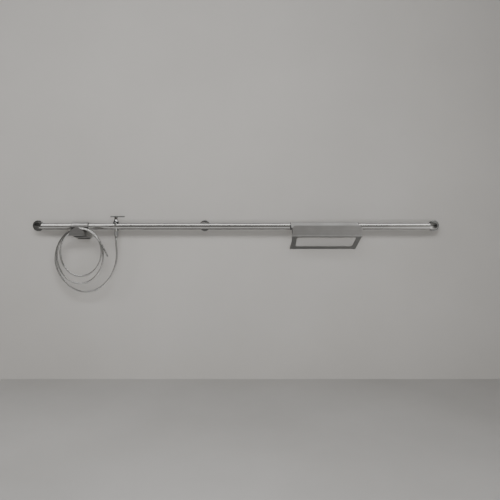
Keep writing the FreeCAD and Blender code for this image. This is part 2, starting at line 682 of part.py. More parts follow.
def build():
    frame = bike_frame()
    front = hose_front()
    pipe = feed_pipe(FEED_R)
    spigot_bore = rod(at(RAIL_LEFT, -PAST, 0), at(RAIL_LEFT, RAIL_OUT, 0), FEED_R)
    holder_low = front.BoundBox.ZMin
    return {
        "rail_tube": rail_tube(),
        "left_elbow": elbow(RAIL_LEFT, 1),
        "right_elbow": elbow(RAIL_RIGHT, -1),
        "left_wall_plate": wall_plate(RAIL_LEFT, BORE_R).cut(spigot_bore),
        "middle_wall_plate": wall_plate(0, 0),
        "right_wall_plate": wall_plate(RAIL_RIGHT, BORE_R),
        "left_rosette": rosette(RAIL_LEFT, RAIL_R),
        "middle_rosette": rosette(0, POST_R),
        "right_rosette": rosette(RAIL_RIGHT, RAIL_R),
        "middle_post": middle_post(),
        "plate_grub_screws": Part.makeCompound([grub_screw(RAIL_LEFT), grub_screw(RAIL_RIGHT)]),
        "feed_pipe": pipe.cut(feed_pipe(FEED_R - FEED_WALL)),
        "feed_seal": feed_seal(),
        "tap_body": tap_body(),
        "tap_collar": tap_collar(),
        "tap_bonnet": tap_bonnet(),
        "cartridge_housing": cartridge_housing(),
        "cartridge_seal": tap_ring(SEAT_Z, DISC_LOW_Z, CARTRIDGE_R, WATERWAY_R),
        "fixed_disc": disc(DISC_LOW_Z, CARTRIDGE_R - CARTRIDGE_T),
        "turning_disc": disc(TURN_LOW_Z, CARTRIDGE_R - CARTRIDGE_T - RUNNING),
        "spindle": spindle(),
        "spindle_seals": spindle_seals(),
        "handle_hub": handle_hub(),
        "handle_bar": handle_bar(),
        "handle_screw": handle_screw().cut(tap_rod(0, BAR_Z, SPINDLE_R)),
        "outlet_nut": outlet_nut(),
        "outlet_washer": tap_ring(NUT_FLOOR_Z + BARB_FLANGE_T, THREAD_END_Z, THREAD_R, WATERWAY_R),
        "hose_barb": hose_barb(),
        "hose_ferrule": hose_ferrule(),
        "hose_run": hose("hose_run", HOSE_RUN),
        "hose_coil": hose_coil(),
        "hose_tail": hose("hose_tail", HOSE_TAIL),
        "hose_hook": hose_hook(),
        "hose_saddle": hose_saddle(),
        "hose_front": front,
        "hose_liner": hose_liner(),
        "hose_wall_pad": wall_pad(HOLDER_X, HOLDER_PAD_WIDTH, holder_low, holder_low + HOLDER_FLANGE),
        "bike_hook": bike_hook(),
        "bike_frame": frame,
        "trough_pad": trough_pad(),
        "rail_glides": rail_glides(),
        "bike_wall_pads": bike_wall_pads(frame),
    }


def main():
    os.makedirs("parts", exist_ok=True)
    for name, shape in build().items():
        if not shape.isValid() or not shape.Solids:
            raise ValueError(f"{name} is not a valid solid")
        print(name, len(shape.Solids), round(shape.Volume))
        shape.exportStep(f"parts/{name}.step")


main()
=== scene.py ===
"""Looks of a wall rail with a bicycle holder, a water tap and a hose holder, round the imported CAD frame.

The wall is the plane Y = 0 and everything stands out from it along -Y. +X is right, +Z is up. Metres.
"""

import math

import bmesh
import bpy
import numpy as np
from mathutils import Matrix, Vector


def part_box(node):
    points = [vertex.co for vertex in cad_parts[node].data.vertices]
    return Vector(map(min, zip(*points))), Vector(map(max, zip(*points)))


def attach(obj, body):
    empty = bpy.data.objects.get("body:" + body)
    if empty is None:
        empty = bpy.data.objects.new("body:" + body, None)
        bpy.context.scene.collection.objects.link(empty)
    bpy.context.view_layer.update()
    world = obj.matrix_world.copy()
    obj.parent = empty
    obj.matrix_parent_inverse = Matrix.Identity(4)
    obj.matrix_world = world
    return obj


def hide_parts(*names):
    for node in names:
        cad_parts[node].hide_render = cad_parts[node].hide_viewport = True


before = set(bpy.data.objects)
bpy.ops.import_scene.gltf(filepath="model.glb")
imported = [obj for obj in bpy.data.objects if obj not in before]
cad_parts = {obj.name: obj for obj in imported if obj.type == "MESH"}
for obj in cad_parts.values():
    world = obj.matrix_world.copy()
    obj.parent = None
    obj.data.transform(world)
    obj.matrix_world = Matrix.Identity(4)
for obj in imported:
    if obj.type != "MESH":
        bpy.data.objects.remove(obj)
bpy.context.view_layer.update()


# ---- sizes, from the frame where it has them ----


def box(node):
    """Lowest corner, highest corner and centre of a CAD node."""
    low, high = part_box(node)
    return low, high, (low + high) / 2


def half_width(node):
    low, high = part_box(node)
    return (high.x - low.x) / 2


RAIL_LOW, RAIL_HIGH, RAIL_MID = box("rail_tube")
RAIL_R = (RAIL_HIGH.z - RAIL_LOW.z) / 2
RAIL_OUT = -RAIL_MID.y
RAIL_WALL = 0.002
LEFT_X = box("left_wall_plate")[2].x
MIDDLE_X = box("middle_wall_plate")[2].x
RIGHT_X = box("right_wall_plate")[2].x
BEND_R = RAIL_LOW.x - LEFT_X
PLATE_T = -box("middle_wall_plate")[0].y
POST_R = half_width("middle_post")
ROSETTE_R = half_width("left_rosette")
ROSETTE_DEPTH = -box("left_rosette")[0].y
ROSETTE_T = 0.0015
GRUB_R = 0.0025
GRUB_OUT = -box("plate_grub_screws")[2].y

TAP_X = box("tap_body")[2].x
SHEET_T = 0.003
SHEET_EDGE = 0.0004
FOLD_R = 0.0045
LINER_T = 0.0025
LINER_R = RAIL_R + LINER_T
CLIP_EDGE = 0.0006
LINER_FROM = 155.0  # degrees round the rail from straight out, over the top
LINER_TO = -65.0
HOOK_BACK = 158.0
PAD_T = 0.003
RUNNING = 0.00005

HOLDER_BACK = -box("hose_hook")[0].y
HOLDER_X = box("hose_hook")[2].x
HOLDER_HALF = half_width("hose_hook")
FRONT_OUT = -box("hose_front")[0].y
DISC_R = half_width("hose_front") - 0.002
SADDLE_R = half_width("hose_saddle")
SADDLE_Z = box("hose_saddle")[0].z
HOLDER_LEG_Z = -0.078
HOLDER_FLANGE = 0.010
HOLDER_LEG_FRONT = 0.070
BACK_R = 0.050
NECK_HALF = 0.030
WELD = 0.0022
SHOULDER_Z = -0.005

BIKE_LOW, BIKE_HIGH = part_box("bike_frame")
SLOPE = 29.0
LIP_OUT = -BIKE_LOW.y
LIP_MID = LIP_OUT - SHEET_T / 2
LIP_TOP_Z = BIKE_HIGH.z
LIP_BOTTOM_Z = -0.055
LIP_CORNER_R = 0.022
FLANGE_UP = 0.009
LEG_FLANGE = 0.012
FOOT_CORNER_R = 0.003
WINDOW_SIDE = 0.033
WINDOW_FRONT = 0.022
WINDOW_BACK = 0.058
WINDOW_CORNER_R = 0.012
TROUGH_PAD_T = 0.006
TROUGH_PAD_LENGTH = 0.078
BIKE_HOOK_R = LINER_R + RUNNING + SHEET_T / 2

HOSE_D = 0.011
HOSE_R = HOSE_D / 2

STEPS = 72  # points round a turned piece
SMOOTH_ANGLE = math.radians(35)


# ---- camera and hose ----


def make_camera():
    """Level view, square on to the wall, from the right of the rail's middle."""
    data = bpy.data.cameras.new("camera")
    data.sensor_width = 36.0
    data.lens = 38.88
    data.shift_y = -0.11
    camera = bpy.data.objects.new("camera", data)
    camera.location = (0.307, -3.68, 0.209)
    camera.rotation_euler = (math.radians(90), 0, 0)
    bpy.context.scene.collection.objects.link(camera)
    bpy.context.scene.camera = camera


def at(x, out, z):
    return Vector((x, -out, z))


HOSE_TOP_Z = box("hose_ferrule")[1].z
HOSE_RUN = [
    (TAP_X, 0.080, HOSE_TOP_Z), (TAP_X, 0.080, -0.118), (-0.578, 0.083, -0.190), (-0.590, 0.087, -0.272),
    (-0.630, 0.092, -0.356), (-0.702, 0.097, -0.420), (-0.790, 0.102, -0.438), (-0.874, 0.106, -0.408),
    (-0.936, 0.110, -0.344), (-0.974, 0.114, -0.268), (-0.979, 0.117, -0.186), (-0.955, 0.119, -0.104),
    (-0.905, 0.1195, -0.041), (-0.838, 0.1195, -0.009), (-0.782, 0.121, -0.012),
]
HOSE_TAIL = [
    (-0.800, 0.1415, -0.0105), (-0.752, 0.144, -0.024), (-0.706, 0.146, -0.058), (-0.668, 0.147, -0.108),
    (-0.640, 0.148, -0.158), (-0.624, 0.148, -0.195),
]
TURN_POINTS = 16
# Centre x, half width, top z, bottom z, first and last lane out from the wall, first and last step.
COIL_TURNS = [
    (-0.811, 0.151, -0.0108, -0.3735, 0.121, 0.131, 1, TURN_POINTS - 1),
    (-0.803, 0.134, -0.0108, -0.323, 0.131, 0.1415, 0, TURN_POINTS - 1),
]
COIL_START = math.radians(10)  # past the top, where each turn begins


def coil_points():
    """Control points of the two turns that hang on the saddle, clockwise from the top."""
    swell = 1 / math.cos(math.pi / TURN_POINTS)
    points = []
    for centre_x, half_width, top, bottom, lane, next_lane, first, last in COIL_TURNS:
        half_height = (top - bottom) / 2
        for step in range(first, last + 1):
            share = step / TURN_POINTS
            turn = COIL_START + math.tau * share
            x = centre_x + swell * half_width * math.sin(turn)
            z = (top + bottom) / 2 + swell * half_height * math.cos(turn)
            points.append((x, lane + (next_lane - lane) * share, z))
    return points


def hose_route():
    """Centreline of the whole hose as a dense list of points, read from one smooth spline."""
    data = bpy.data.curves.new("hose_route", "CURVE")
    data.dimensions = "3D"
    data.resolution_u = 24
    route = HOSE_RUN + coil_points() + HOSE_TAIL
    spline = data.splines.new("NURBS")
    spline.points.add(len(route) - 1)
    for point, place in zip(spline.points, route):
        point.co = (*at(*place), 1)
    spline.order_u = 3
    spline.use_endpoint_u = True
    holder = bpy.data.objects.new("hose_route", data)
    mesh = bpy.data.meshes.new_from_object(holder)
    points = [vertex.co.copy() for vertex in mesh.vertices]
    bpy.data.objects.remove(holder)
    bpy.data.meshes.remove(mesh)
    return points


# ---- mesh helpers ----


def skin(rings, loop=False):
    """Closed mesh through rings of points. A ring of one point is a pole, and open ends get a flat cap."""
    verts, faces, starts = [], [], []
    for ring in rings:
        starts.append(len(verts))
        verts += ring
    pairs = list(zip(range(len(rings)), range(1, len(rings))))
    if loop:
        pairs.append((len(rings) - 1, 0))
    for a, b in pairs:
        count_a, count_b = len(rings[a]), len(rings[b])
        count = max(count_a, count_b)
        for i in range(count):
            j = (i + 1) % count
            corners = [starts[a] + i % count_a, starts[a] + j % count_a]
            corners += [starts[b] + j % count_b, starts[b] + i % count_b]
            faces.append(list(dict.fromkeys(corners)))
    if not loop:
        for index in (0, -1):
            if len(rings[index]) > 1:
                faces.append([starts[index] + i for i in range(len(rings[index]))])
    mesh = bpy.data.meshes.new("skin")
    mesh.from_pydata([tuple(v) for v in verts], [], faces)
    work = bmesh.new()
    work.from_mesh(mesh)
    bmesh.ops.recalc_face_normals(work, faces=work.faces)
    work.to_mesh(mesh)
    work.free()
    return mesh


def lathe(place, axis, profile, loop=False, steps=STEPS):
    """Turned shape. The profile is (radius, height) pairs, each a number or a function of the angle."""
    place, axis = Vector(place), Vector(axis)
    side = Vector((0, 0, 1)) if abs(axis.x) > 0.5 else Vector((1, 0, 0))
    other = axis.cross(side)
    rings = []
    for radius, height in profile:
        ring = []
        for i in range(steps):
            turn = math.tau * i / steps
            r = radius(turn) if callable(radius) else radius
            h = height(turn) if callable(height) else height
            ring.append(place + axis * h + (side * math.cos(turn) + other * math.sin(turn)) * r)
            if not callable(radius) and radius == 0:
                break
        rings.append(ring)
    return skin(rings, loop)


def hexagon(apothem):
    """Radius of a hexagon at an angle, for a socket."""
    sector = math.pi / 3
    return lambda turn: apothem / math.cos((turn + sector / 2) % sector - sector / 2)


def fluted(radius, depth, count):
    return lambda turn: radius - depth * (1 - abs(math.sin(count * turn / 2))) ** 2


def arc(centre, radius, start, end, count):
    """Points (a, b) on an arc, angles in degrees."""
    turns = [math.radians(start + (end - start) * i / count) for i in range(count + 1)]
    return [(centre[0] + radius * math.cos(t), centre[1] + radius * math.sin(t)) for t in turns]


def arc_through(first, middle, last, count):
    """Points on the arc from the first through the middle to the last."""
    (ax, ay), (bx, by), (cx, cy) = first, middle, last
    a, b, c = ax * ax + ay * ay, bx * bx + by * by, cx * cx + cy * cy
    double = 2 * (ax * (by - cy) + bx * (cy - ay) + cx * (ay - by))
    x = (a * (by - cy) + b * (cy - ay) + c * (ay - by)) / double
    y = (a * (cx - bx) + b * (ax - cx) + c * (bx - ax)) / double
    ends = [math.degrees(math.atan2(py - y, px - x)) for px, py in (first, last)]
    return arc((x, y), math.hypot(ax - x, ay - y), *ends, count)


def rounded(corners, radius, steps=4):
    """Outline with every corner rounded: a corner is (a, b) or (a, b, its own radius)."""
    points = []
    count = len(corners)
    for i, corner in enumerate(corners):
        here = Vector(corner[:2])
        back = Vector(corners[i - 1][:2]) - here
        ahead = Vector(corners[(i + 1) % count][:2]) - here
        reach = corner[2] if len(corner) > 2 else radius
        if reach == 0:
            points.append(tuple(here))
            continue
        half = back.angle(ahead) / 2
        length = min(reach / math.tan(half), back.length * 0.49, ahead.length * 0.49)
        reach = length * math.tan(half)
        centre = here + (back.normalized() + ahead.normalized()).normalized() * (reach / math.sin(half))
        first = here + back.normalized() * length - centre
        last = here + ahead.normalized() * length - centre
        sweep = first.angle_signed(last)
        for k in range(steps + 1):
            turn = math.atan2(first.y, first.x) - sweep * k / steps
            points.append((centre.x + reach * math.cos(turn), centre.y + reach * math.sin(turn)))
    return points


def inset(points, depth):
    """Outline moved inwards by a depth, for the rounded end of an extrusion."""
    area = sum(a[0] * b[1] - b[0] * a[1] for a, b in zip(points, points[1:] + points[:1]))
    side = math.copysign(1, area)
    moved = []
    for before, here, after in zip(points[-1:] + points[:-1], points, points[1:] + points[:1]):
        come = (Vector(here) - Vector(before)).normalized()
        go = (Vector(after) - Vector(here)).normalized()
        normal = Vector((-come.y - go.y, come.x + go.x))
        normal = normal.normalized() / max(0.5, normal.length / 2) * side * depth
        moved.append((here[0] + normal.x, here[1] + normal.y))
    return moved


def extruded(section, x_from, x_to, edge):
    """Section of (out, z) points drawn along X, with both ends rounded over."""
    shares = (0.0, 0.3, 1.0)
    stations = [(x_from + edge * share, edge * (1 - share) ** 2) for share in shares]
    stations += [(x_to - edge * share, edge * (1 - share) ** 2) for share in reversed(shares)]
    return skin([[at(x, *point) for point in inset(section, depth)] for x, depth in stations])


def round_rail(angle, radius):
    """(out, z) at an angle round the rail's axis, from straight out, over the top."""
    return RAIL_OUT + radius * math.cos(math.radians(angle)), radius * math.sin(math.radians(angle))


def fold_path(start, heading, moves):
    """Middle line of a folded sheet across the rail, as spans; a move is a length or (radius, turn)."""
    out, z = start
    angle = math.radians(heading)
    along = 0.0
    spans = []
    for move in moves:
        if isinstance(move, tuple):
            radius, turn = math.copysign(move[0], move[1]), math.radians(move[1])
            length = radius * turn
            spans.append((along, length, out, z, angle, radius))
            centre = (out - radius * math.sin(angle), z + radius * math.cos(angle))
            angle += turn
            out = centre[0] + radius * math.sin(angle)
            z = centre[1] - radius * math.cos(angle)
        else:
            length = move
            spans.append((along, length, out, z, angle, None))
            out += move * math.cos(angle)
            z += move * math.sin(angle)
        along += length
    return spans


def fold_point(spans, along, lift):
    """(out, z) of a point of the flat sheet: along it, and lift above its middle."""
    begin, _, out, z, angle, radius = [s for s in spans if s[0] <= along + 1e-9 or s is spans[0]][-1]
    if radius is None:
        step = along - begin
        new_out = out + step * math.cos(angle) - lift * math.sin(angle)
        return new_out, z + step * math.sin(angle) + lift * math.cos(angle)
    centre = (out - radius * math.sin(angle), z + radius * math.cos(angle))
    now = angle + (along - begin) / radius
    return centre[0] + (radius - lift) * math.sin(now), centre[1] - (radius - lift) * math.cos(now)


def flat_sheet(outlines, thickness):
    """Flat sheet with softened edges on closed outlines of (x, along) points; inner outlines are holes."""
    data = bpy.data.curves.new("pattern", "CURVE")
    data.dimensions = "2D"
    data.fill_mode = "BOTH"
    data.bevel_depth = SHEET_EDGE
    data.bevel_resolution = 1
    data.offset = -SHEET_EDGE
    data.extrude = thickness / 2 - SHEET_EDGE
    for outline in outlines:
        spline = data.splines.new("POLY")
        spline.points.add(len(outline) - 1)
        for point, place in zip(spline.points, outline):
            point.co = (*place, 0, 1)
        spline.use_cyclic_u = True
    holder = bpy.data.objects.new("pattern", data)
    mesh = bpy.data.meshes.new_from_object(holder)
    bpy.data.objects.remove(holder)
    return mesh


def folded_sheet(outlines, thickness, spans, is_flat=None):
    """Sheet cut to its outlines and folded; is_flat(x, along) is true where it stays in the first plane."""
    mesh = flat_sheet(outlines, thickness)
    work = bmesh.new()
    work.from_mesh(mesh)
    bmesh.ops.remove_doubles(work, verts=work.verts, dist=2e-6)
    for begin, length, _, _, _, radius in spans:
        if radius is None:
            cuts = [begin]
        else:
            count = max(4, math.ceil(abs(length / radius) / math.radians(7)))
            cuts = [begin + length * i / count for i in range(count + 1)]
        for cut in cuts:
            everything = work.verts[:] + work.edges[:] + work.faces[:]
            bmesh.ops.bisect_plane(
                work, geom=everything, dist=1e-7, plane_co=(0, cut, 0), plane_no=(0, 1, 0)
            )
    for vertex in work.verts:
        x, along, lift = vertex.co
        rule = spans[:1] if is_flat and is_flat(x, along) else spans
        vertex.co = at(x, *fold_point(rule, along, lift))
    bmesh.ops.recalc_face_normals(work, faces=work.faces)
    work.to_mesh(mesh)
    work.free()
    return mesh


def cut(mesh, *cutters):
    """Mesh less its cutters."""
    piece = bpy.data.objects.new("cut", mesh)
    bpy.context.scene.collection.objects.link(piece)
    tools = []
    for cutter in cutters:
        tool = bpy.data.objects.new("cutter", cutter)
        bpy.context.scene.collection.objects.link(tool)
        tools.append(tool)
        modifier = piece.modifiers.new("cut", "BOOLEAN")
        modifier.operation = "DIFFERENCE"
        modifier.solver = "EXACT"
        modifier.object = tool
    bpy.context.view_layer.update()
    result = bpy.data.meshes.new_from_object(piece.evaluated_get(bpy.context.evaluated_depsgraph_get()))
    for item in [piece, *tools]:
        bpy.data.objects.remove(item)
    return result


def show(name, mesh, paint, body, *nodes, weighted=True):
    """New visible piece on a body, in place of its CAD nodes, with the paint it is given."""
    mesh.name = name
    mesh.shade_smooth()
    mesh.set_sharp_from_angle(angle=SMOOTH_ANGLE)
    piece = bpy.data.objects.new(name, mesh)
    bpy.context.scene.collection.objects.link(piece)
    mesh.materials.clear()
    mesh.materials.append(paint)
    if weighted:
        modifier = piece.modifiers.new("even_normals", "WEIGHTED_NORMAL")
        modifier.keep_sharp = True
    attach(piece, body)
    if nodes:
        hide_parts(*nodes)
    return piece


# ---- materials ----


class Paint:
    """One procedural material: a Principled shader and the nodes that feed it."""

    def __init__(self, name, **uniform):
        self.material = bpy.data.materials.new(name)
        self.material.use_nodes = True
        self.tree = self.material.node_tree
        self.shader = self.tree.nodes["Principled BSDF"]
        for key, value in uniform.items():
            self.shader.inputs[key.replace("_", " ")].default_value = value
        self.place = self.node("ShaderNodeTexCoord").outputs["Object"]

    def node(self, kind, settings=None, **inputs):
        made = self.tree.nodes.new(kind)
        for key, value in (settings or {}).items():
            setattr(made, key, value)
        for key, value in inputs.items():
            socket = made.inputs[int(key[1:])] if key[0] == "i" and key[1:].isdigit() else made.inputs[key]
            if isinstance(value, bpy.types.NodeSocket):
                self.tree.links.new(value, socket)
            else:
                socket.default_value = value
        return made

    def noise(self, scale, stretch=(1, 1, 1), detail=4.0, roughness=0.55):
        """Noise fixed to the object; a stretch under 1 makes it longer along that axis."""
        spread = self.node("ShaderNodeMapping", Vector=self.place, Scale=stretch).outputs[0]
        return self.node(
            "ShaderNodeTexNoise", Vector=spread, Scale=scale, Detail=detail, Roughness=roughness
        ).outputs["Fac"]

    def ramp(self, factor, low, high, start=0.35, end=0.65):
        """Number from low to high as the factor goes from start to end."""
        made = self.node("ShaderNodeMapRange", Value=factor)
        for key, value in {"From Min": start, "From Max": end, "To Min": low, "To Max": high}.items():
            made.inputs[key].default_value = value
        return made.outputs[0]

    def colours(self, factor, first, second, start=0.3, end=0.7):
        made = self.node("ShaderNodeValToRGB", Fac=factor)
        ramp = made.color_ramp
        ramp.elements[0].position, ramp.elements[1].position = start, end
        ramp.elements[0].color, ramp.elements[1].color = (*first, 1), (*second, 1)
        return made.outputs[0]

    def maths(self, operation, a, b):
        return self.node("ShaderNodeMath", {"operation": operation}, i0=a, i1=b).outputs[0]

    def mixed(self, factor, first, second):
        """Blend of two colours or colour sockets."""
        made = self.node("ShaderNodeMix", {"data_type": "RGBA"}, i0=factor)
        for index, value in ((6, first), (7, second)):
            if isinstance(value, bpy.types.NodeSocket):
                self.tree.links.new(value, made.inputs[index])
            else:
                made.inputs[index].default_value = (*value, 1)
        return made.outputs[2]

    def edges(self, low=0.51, high=0.56):
        """1 on outer edges, where handling wears a finish, and 0 on flat faces."""
        point = self.node("ShaderNodeNewGeometry").outputs["Pointiness"]
        return self.ramp(point, 0.0, 1.0, low, high)

    def set(self, **sockets):
        for key, value in sockets.items():
            self.tree.links.new(value, self.shader.inputs[key.replace("_", " ")])
        return self

    def bump(self, *layers):
        """Bump from (height, strength, distance) layers, one on the other."""
        normal = None
        for height, strength, distance in layers:
            made = self.node("ShaderNodeBump", Height=height, Strength=strength, Distance=distance)
            if normal:
                self.tree.links.new(normal, made.inputs["Normal"])
            normal = made.outputs[0]
        self.tree.links.new(normal, self.shader.inputs["Normal"])
        return self


def brushed(name, dark, light, grain, rough, depth, smudge):
    """Brushed metal. Grain is the stretch of its brush marks, and smudge the roughness of hand marks."""
    paint = Paint(name, Metallic=1.0)
    fine = paint.noise(900, grain, 6.0, 0.7)
    broad = paint.noise(60, grain, 3.0)
    cloud = paint.noise(9, (1, 1, 1), 3.0)
    streaks = paint.maths("ADD", paint.maths("MULTIPLY", fine, 0.6), paint.maths("MULTIPLY", broad, 0.4))
    tone = paint.colours(streaks, dark, light, 0.35, 0.65)
    paint.set(Base_Color=paint.mixed(paint.ramp(cloud, 0.0, 0.35), tone, tuple(c * 0.8 for c in dark)))
    marks = paint.maths("ADD", paint.ramp(streaks, *rough), paint.ramp(cloud, 0.0, smudge, 0.5, 0.7))
    paint.set(Roughness=paint.maths("SUBTRACT", marks, paint.maths("MULTIPLY", paint.edges(), 0.06)))
    return paint.bump((streaks, depth, 0.0002)).material


def polished(name, dark, light, rough):
    """Polished metal with faint wipe marks and water spots."""
    paint = Paint(name, Metallic=1.0)
    wipe = paint.noise(120, (1, 0.3, 1), 5.0)
    cloud = paint.noise(25, (1, 1, 1), 4.0)
    spots = paint.node("ShaderNodeTexVoronoi", Vector=paint.place, Scale=320.0).outputs["Distance"]
    drops = paint.ramp(spots, 0.10, 0.0, 0.06, 0.12)
    paint.set(Base_Color=paint.colours(cloud, dark, light))
    paint.set(Roughness=paint.maths("ADD", paint.ramp(wipe, *rough), drops))
    return paint.bump((wipe, 0.04, 0.0002), (spots, 0.02, 0.0001)).material


def rubbery(name, dark, light, rough, grain_scale, depth):
    """Moulded rubber or plastic: fine grain, patches of dust and rubbed edges."""
    paint = Paint(name, Metallic=0.0, Specular_IOR_Level=0.4)
    grain = paint.noise(grain_scale, (1, 1, 1), 5.0, 0.6)
    dust = paint.noise(40, (1, 1, 1), 6.0, 0.65)
    tone = paint.colours(dust, dark, light, 0.42, 0.72)
    worn = tuple(min(1.0, c * 2.2 + 0.01) for c in light)
    paint.set(Base_Color=paint.mixed(paint.maths("MULTIPLY", paint.edges(), 0.5), tone, worn))
    paint.set(Roughness=paint.ramp(dust, *rough))
    return paint.bump((grain, depth, 0.0003)).material


def hose_paint():
    """Silvery hose: a bright skin over a spiral, with painted shade darkening its grooves."""
    paint = Paint("hose_skin", Metallic=1.0, IOR=1.5, Coat_Weight=0.2, Coat_Roughness=0.1)
    cloud = paint.noise(45, (1, 1, 1), 5.0)
    fine = paint.noise(1500, (1, 1, 1), 3.0)
    tone = paint.colours(cloud, (0.56, 0.56, 0.54), (0.70, 0.69, 0.67))
    # Painted shade: the colour darkens toward dark brown where the surface is hollow, in the spiral's
    # grooves.
    groove = paint.ramp(paint.node("ShaderNodeNewGeometry").outputs["Pointiness"], 1.0, 0.0, 0.46, 0.5)
    paint.set(Base_Color=paint.mixed(paint.maths("MULTIPLY", groove, 0.4), tone, (0.25, 0.24, 0.22)))
    paint.set(Roughness=paint.ramp(cloud, 0.16, 0.24))
    return paint.bump((fine, 0.03, 0.0001)).material


def ceramic_paint():
    paint = Paint("ceramic_disc", Metallic=0.0, IOR=1.7)
    speck = paint.noise(700, (1, 1, 1), 2.0)
    ground = paint.noise(2500, (1, 0.1, 1), 2.0)
    paint.set(Base_Color=paint.colours(speck, (0.84, 0.82, 0.77), (0.92, 0.91, 0.88)))
    paint.set(Roughness=paint.ramp(ground, 0.10, 0.22))
    return paint.bump((ground, 0.05, 0.0001)).material


def pipe_paint():
    paint = Paint("pipe_plastic", Metallic=0.0, IOR=1.5)
    drawn = paint.noise(220, (0.05, 1, 1), 3.0)
    cloud = paint.noise(30, (1, 1, 1), 3.0)
    paint.set(Base_Color=paint.colours(cloud, (0.74, 0.77, 0.80), (0.86, 0.87, 0.88)))
    paint.set(Roughness=paint.ramp(drawn, 0.28, 0.45))
    return paint.bump((drawn, 0.08, 0.0002)).material


ALONG_X = (0.02, 1, 1)
ALONG_Z = (1, 1, 0.05)
RAIL_STEEL = brushed("rail_steel", (0.52, 0.51, 0.49), (0.64, 0.63, 0.61), ALONG_X, (0.08, 0.14), 0.03, 0.04)
MIRROR_STEEL = polished("mirror_steel", (0.56, 0.56, 0.55), (0.68, 0.68, 0.67), (0.05, 0.14))
# The polished steel again, with its colour darkened as painted shade for the dark room these pieces mirror.
SHADED_STEEL = polished("shaded_polished_steel", (0.26, 0.26, 0.255), (0.36, 0.36, 0.35), (0.05, 0.14))
BIKE_STEEL = brushed(
    "bike_holder_steel", (0.50, 0.49, 0.475), (0.64, 0.63, 0.615), ALONG_X, (0.30, 0.44), 0.10, 0.08
)
HOSE_STEEL = brushed(
    "hose_holder_steel", (0.42, 0.412, 0.40), (0.55, 0.54, 0.525), ALONG_X, (0.26, 0.40), 0.10, 0.08
)
PLATE_STEEL = brushed(
    "plate_steel", (0.42, 0.42, 0.42), (0.56, 0.56, 0.55), (1, 1, 1), (0.32, 0.48), 0.12, 0.10
)
SCREW_STEEL = brushed(
    "screw_steel", (0.30, 0.30, 0.30), (0.48, 0.48, 0.47), ALONG_Z, (0.25, 0.42), 0.08, 0.05
)
BRASS = brushed("turned_brass", (0.58, 0.43, 0.20), (0.76, 0.60, 0.32), ALONG_Z, (0.20, 0.34), 0.06, 0.06)
CERAMIC = ceramic_paint()
RUBBER = rubbery("black_rubber", (0.018, 0.018, 0.018), (0.040, 0.039, 0.037), (0.62, 0.82), 1400, 0.25)
MOULDING = rubbery("black_moulding", (0.022, 0.022, 0.024), (0.042, 0.042, 0.044), (0.42, 0.60), 2200, 0.15)
PIPE = pipe_paint()
HOSE_SKIN = hose_paint()


# ---- rail, its ends and what holds it ----

FINE_STEPS = 96  # points round the rail and what is turned to fit it
TUBE_EASE = 0.0003
TAP_STRETCH = 0.016  # half of the drilled stretch of the rail
GRUB_STRETCH = (0.0125, 0.0185)  # the drilled stretch of a bend, out from the wall
BEND_STEPS = 30
SCREW_STEPS = 36
CUT_REACH = 0.03
GAP = 0.0001
RAIL_BORE = RAIL_R - RAIL_WALL


def ring_points(centre, along, radius, steps):
    """Ring of points about a level line."""
    up = Vector((0, 0, 1))
    side = along.cross(up).normalized()
    turns = [math.tau * i / steps for i in range(steps)]
    return [centre + (side * math.cos(t) + up * math.sin(t)) * radius for t in turns]


def drill(place, axis, radius, start, end, steps=STEPS):
    """Round cutter from start to end along an axis."""
    return lathe(place, axis, [(0, start), (radius, start), (radius, end), (0, end)], steps=steps)


def on_tap(profile, **settings):
    """Turned shape on the tap's axis, with its heights measured from the rail's axis."""
    return lathe((TAP_X, -RAIL_OUT, 0), (0, 0, 1), profile, **settings)


def make_rail():
    """Straight tube with eased ends, drilled for the tap; the rings keep the drilled stretch short."""
    near_tap = [TAP_X - TAP_STRETCH, TAP_X + TAP_STRETCH]
    stations = sorted([RAIL_LOW.x + TUBE_EASE, RAIL_HIGH.x - TUBE_EASE, *near_tap])
    end_r = RAIL_R - TUBE_EASE
    outside = [(end_r, RAIL_LOW.x)] + [(RAIL_R, x) for x in stations] + [(end_r, RAIL_HIGH.x)]
    inside = [(RAIL_BORE, x) for x in (RAIL_HIGH.x, *reversed(near_tap), RAIL_LOW.x)]
    mesh = lathe((0, -RAIL_OUT, 0), (1, 0, 0), outside + inside, loop=True, steps=FINE_STEPS)
    tap_hole = drill((TAP_X, -RAIL_OUT, 0), (0, 0, 1), box("tap_body")[1].x - TAP_X, -CUT_REACH, CUT_REACH)
    show("main_rail", cut(mesh, tap_hole), RAIL_STEEL, "root", "rail_tube")


def make_elbow(name, node, x, side):
    """Bend from the wall plate into the rail, with a hole under it for the grub screw."""
    path = [(at(x, out, 0), Vector((0, -1, 0))) for out in (PLATE_T, *GRUB_STRETCH, RAIL_OUT - BEND_R)]
    centre = at(x + side * BEND_R, RAIL_OUT - BEND_R, 0)
    for i in range(1, BEND_STEPS + 1):
        turn = math.pi / 2 * i / BEND_STEPS
        place = centre + Vector((-side * math.cos(turn), -math.sin(turn), 0)) * BEND_R
        path.append((place, Vector((side * math.sin(turn), -math.cos(turn), 0))))
    end, heading = path[-1]
    path[-1] = (end - heading * TUBE_EASE, heading)
    rings = [ring_points(*station, RAIL_R, FINE_STEPS) for station in path]
    rings += [ring_points(end, heading, radius, FINE_STEPS) for radius in (RAIL_R - TUBE_EASE, RAIL_BORE)]
    rings += [ring_points(*station, RAIL_BORE, FINE_STEPS) for station in path[-2::-1]]
    mesh = skin(rings, loop=True)
    grub_hole = drill((x, -GRUB_OUT, 0), (0, 0, -1), GRUB_R + GAP, 0.01, CUT_REACH, SCREW_STEPS)
    show(name, cut(mesh, grub_hole), RAIL_STEEL, "root", node)


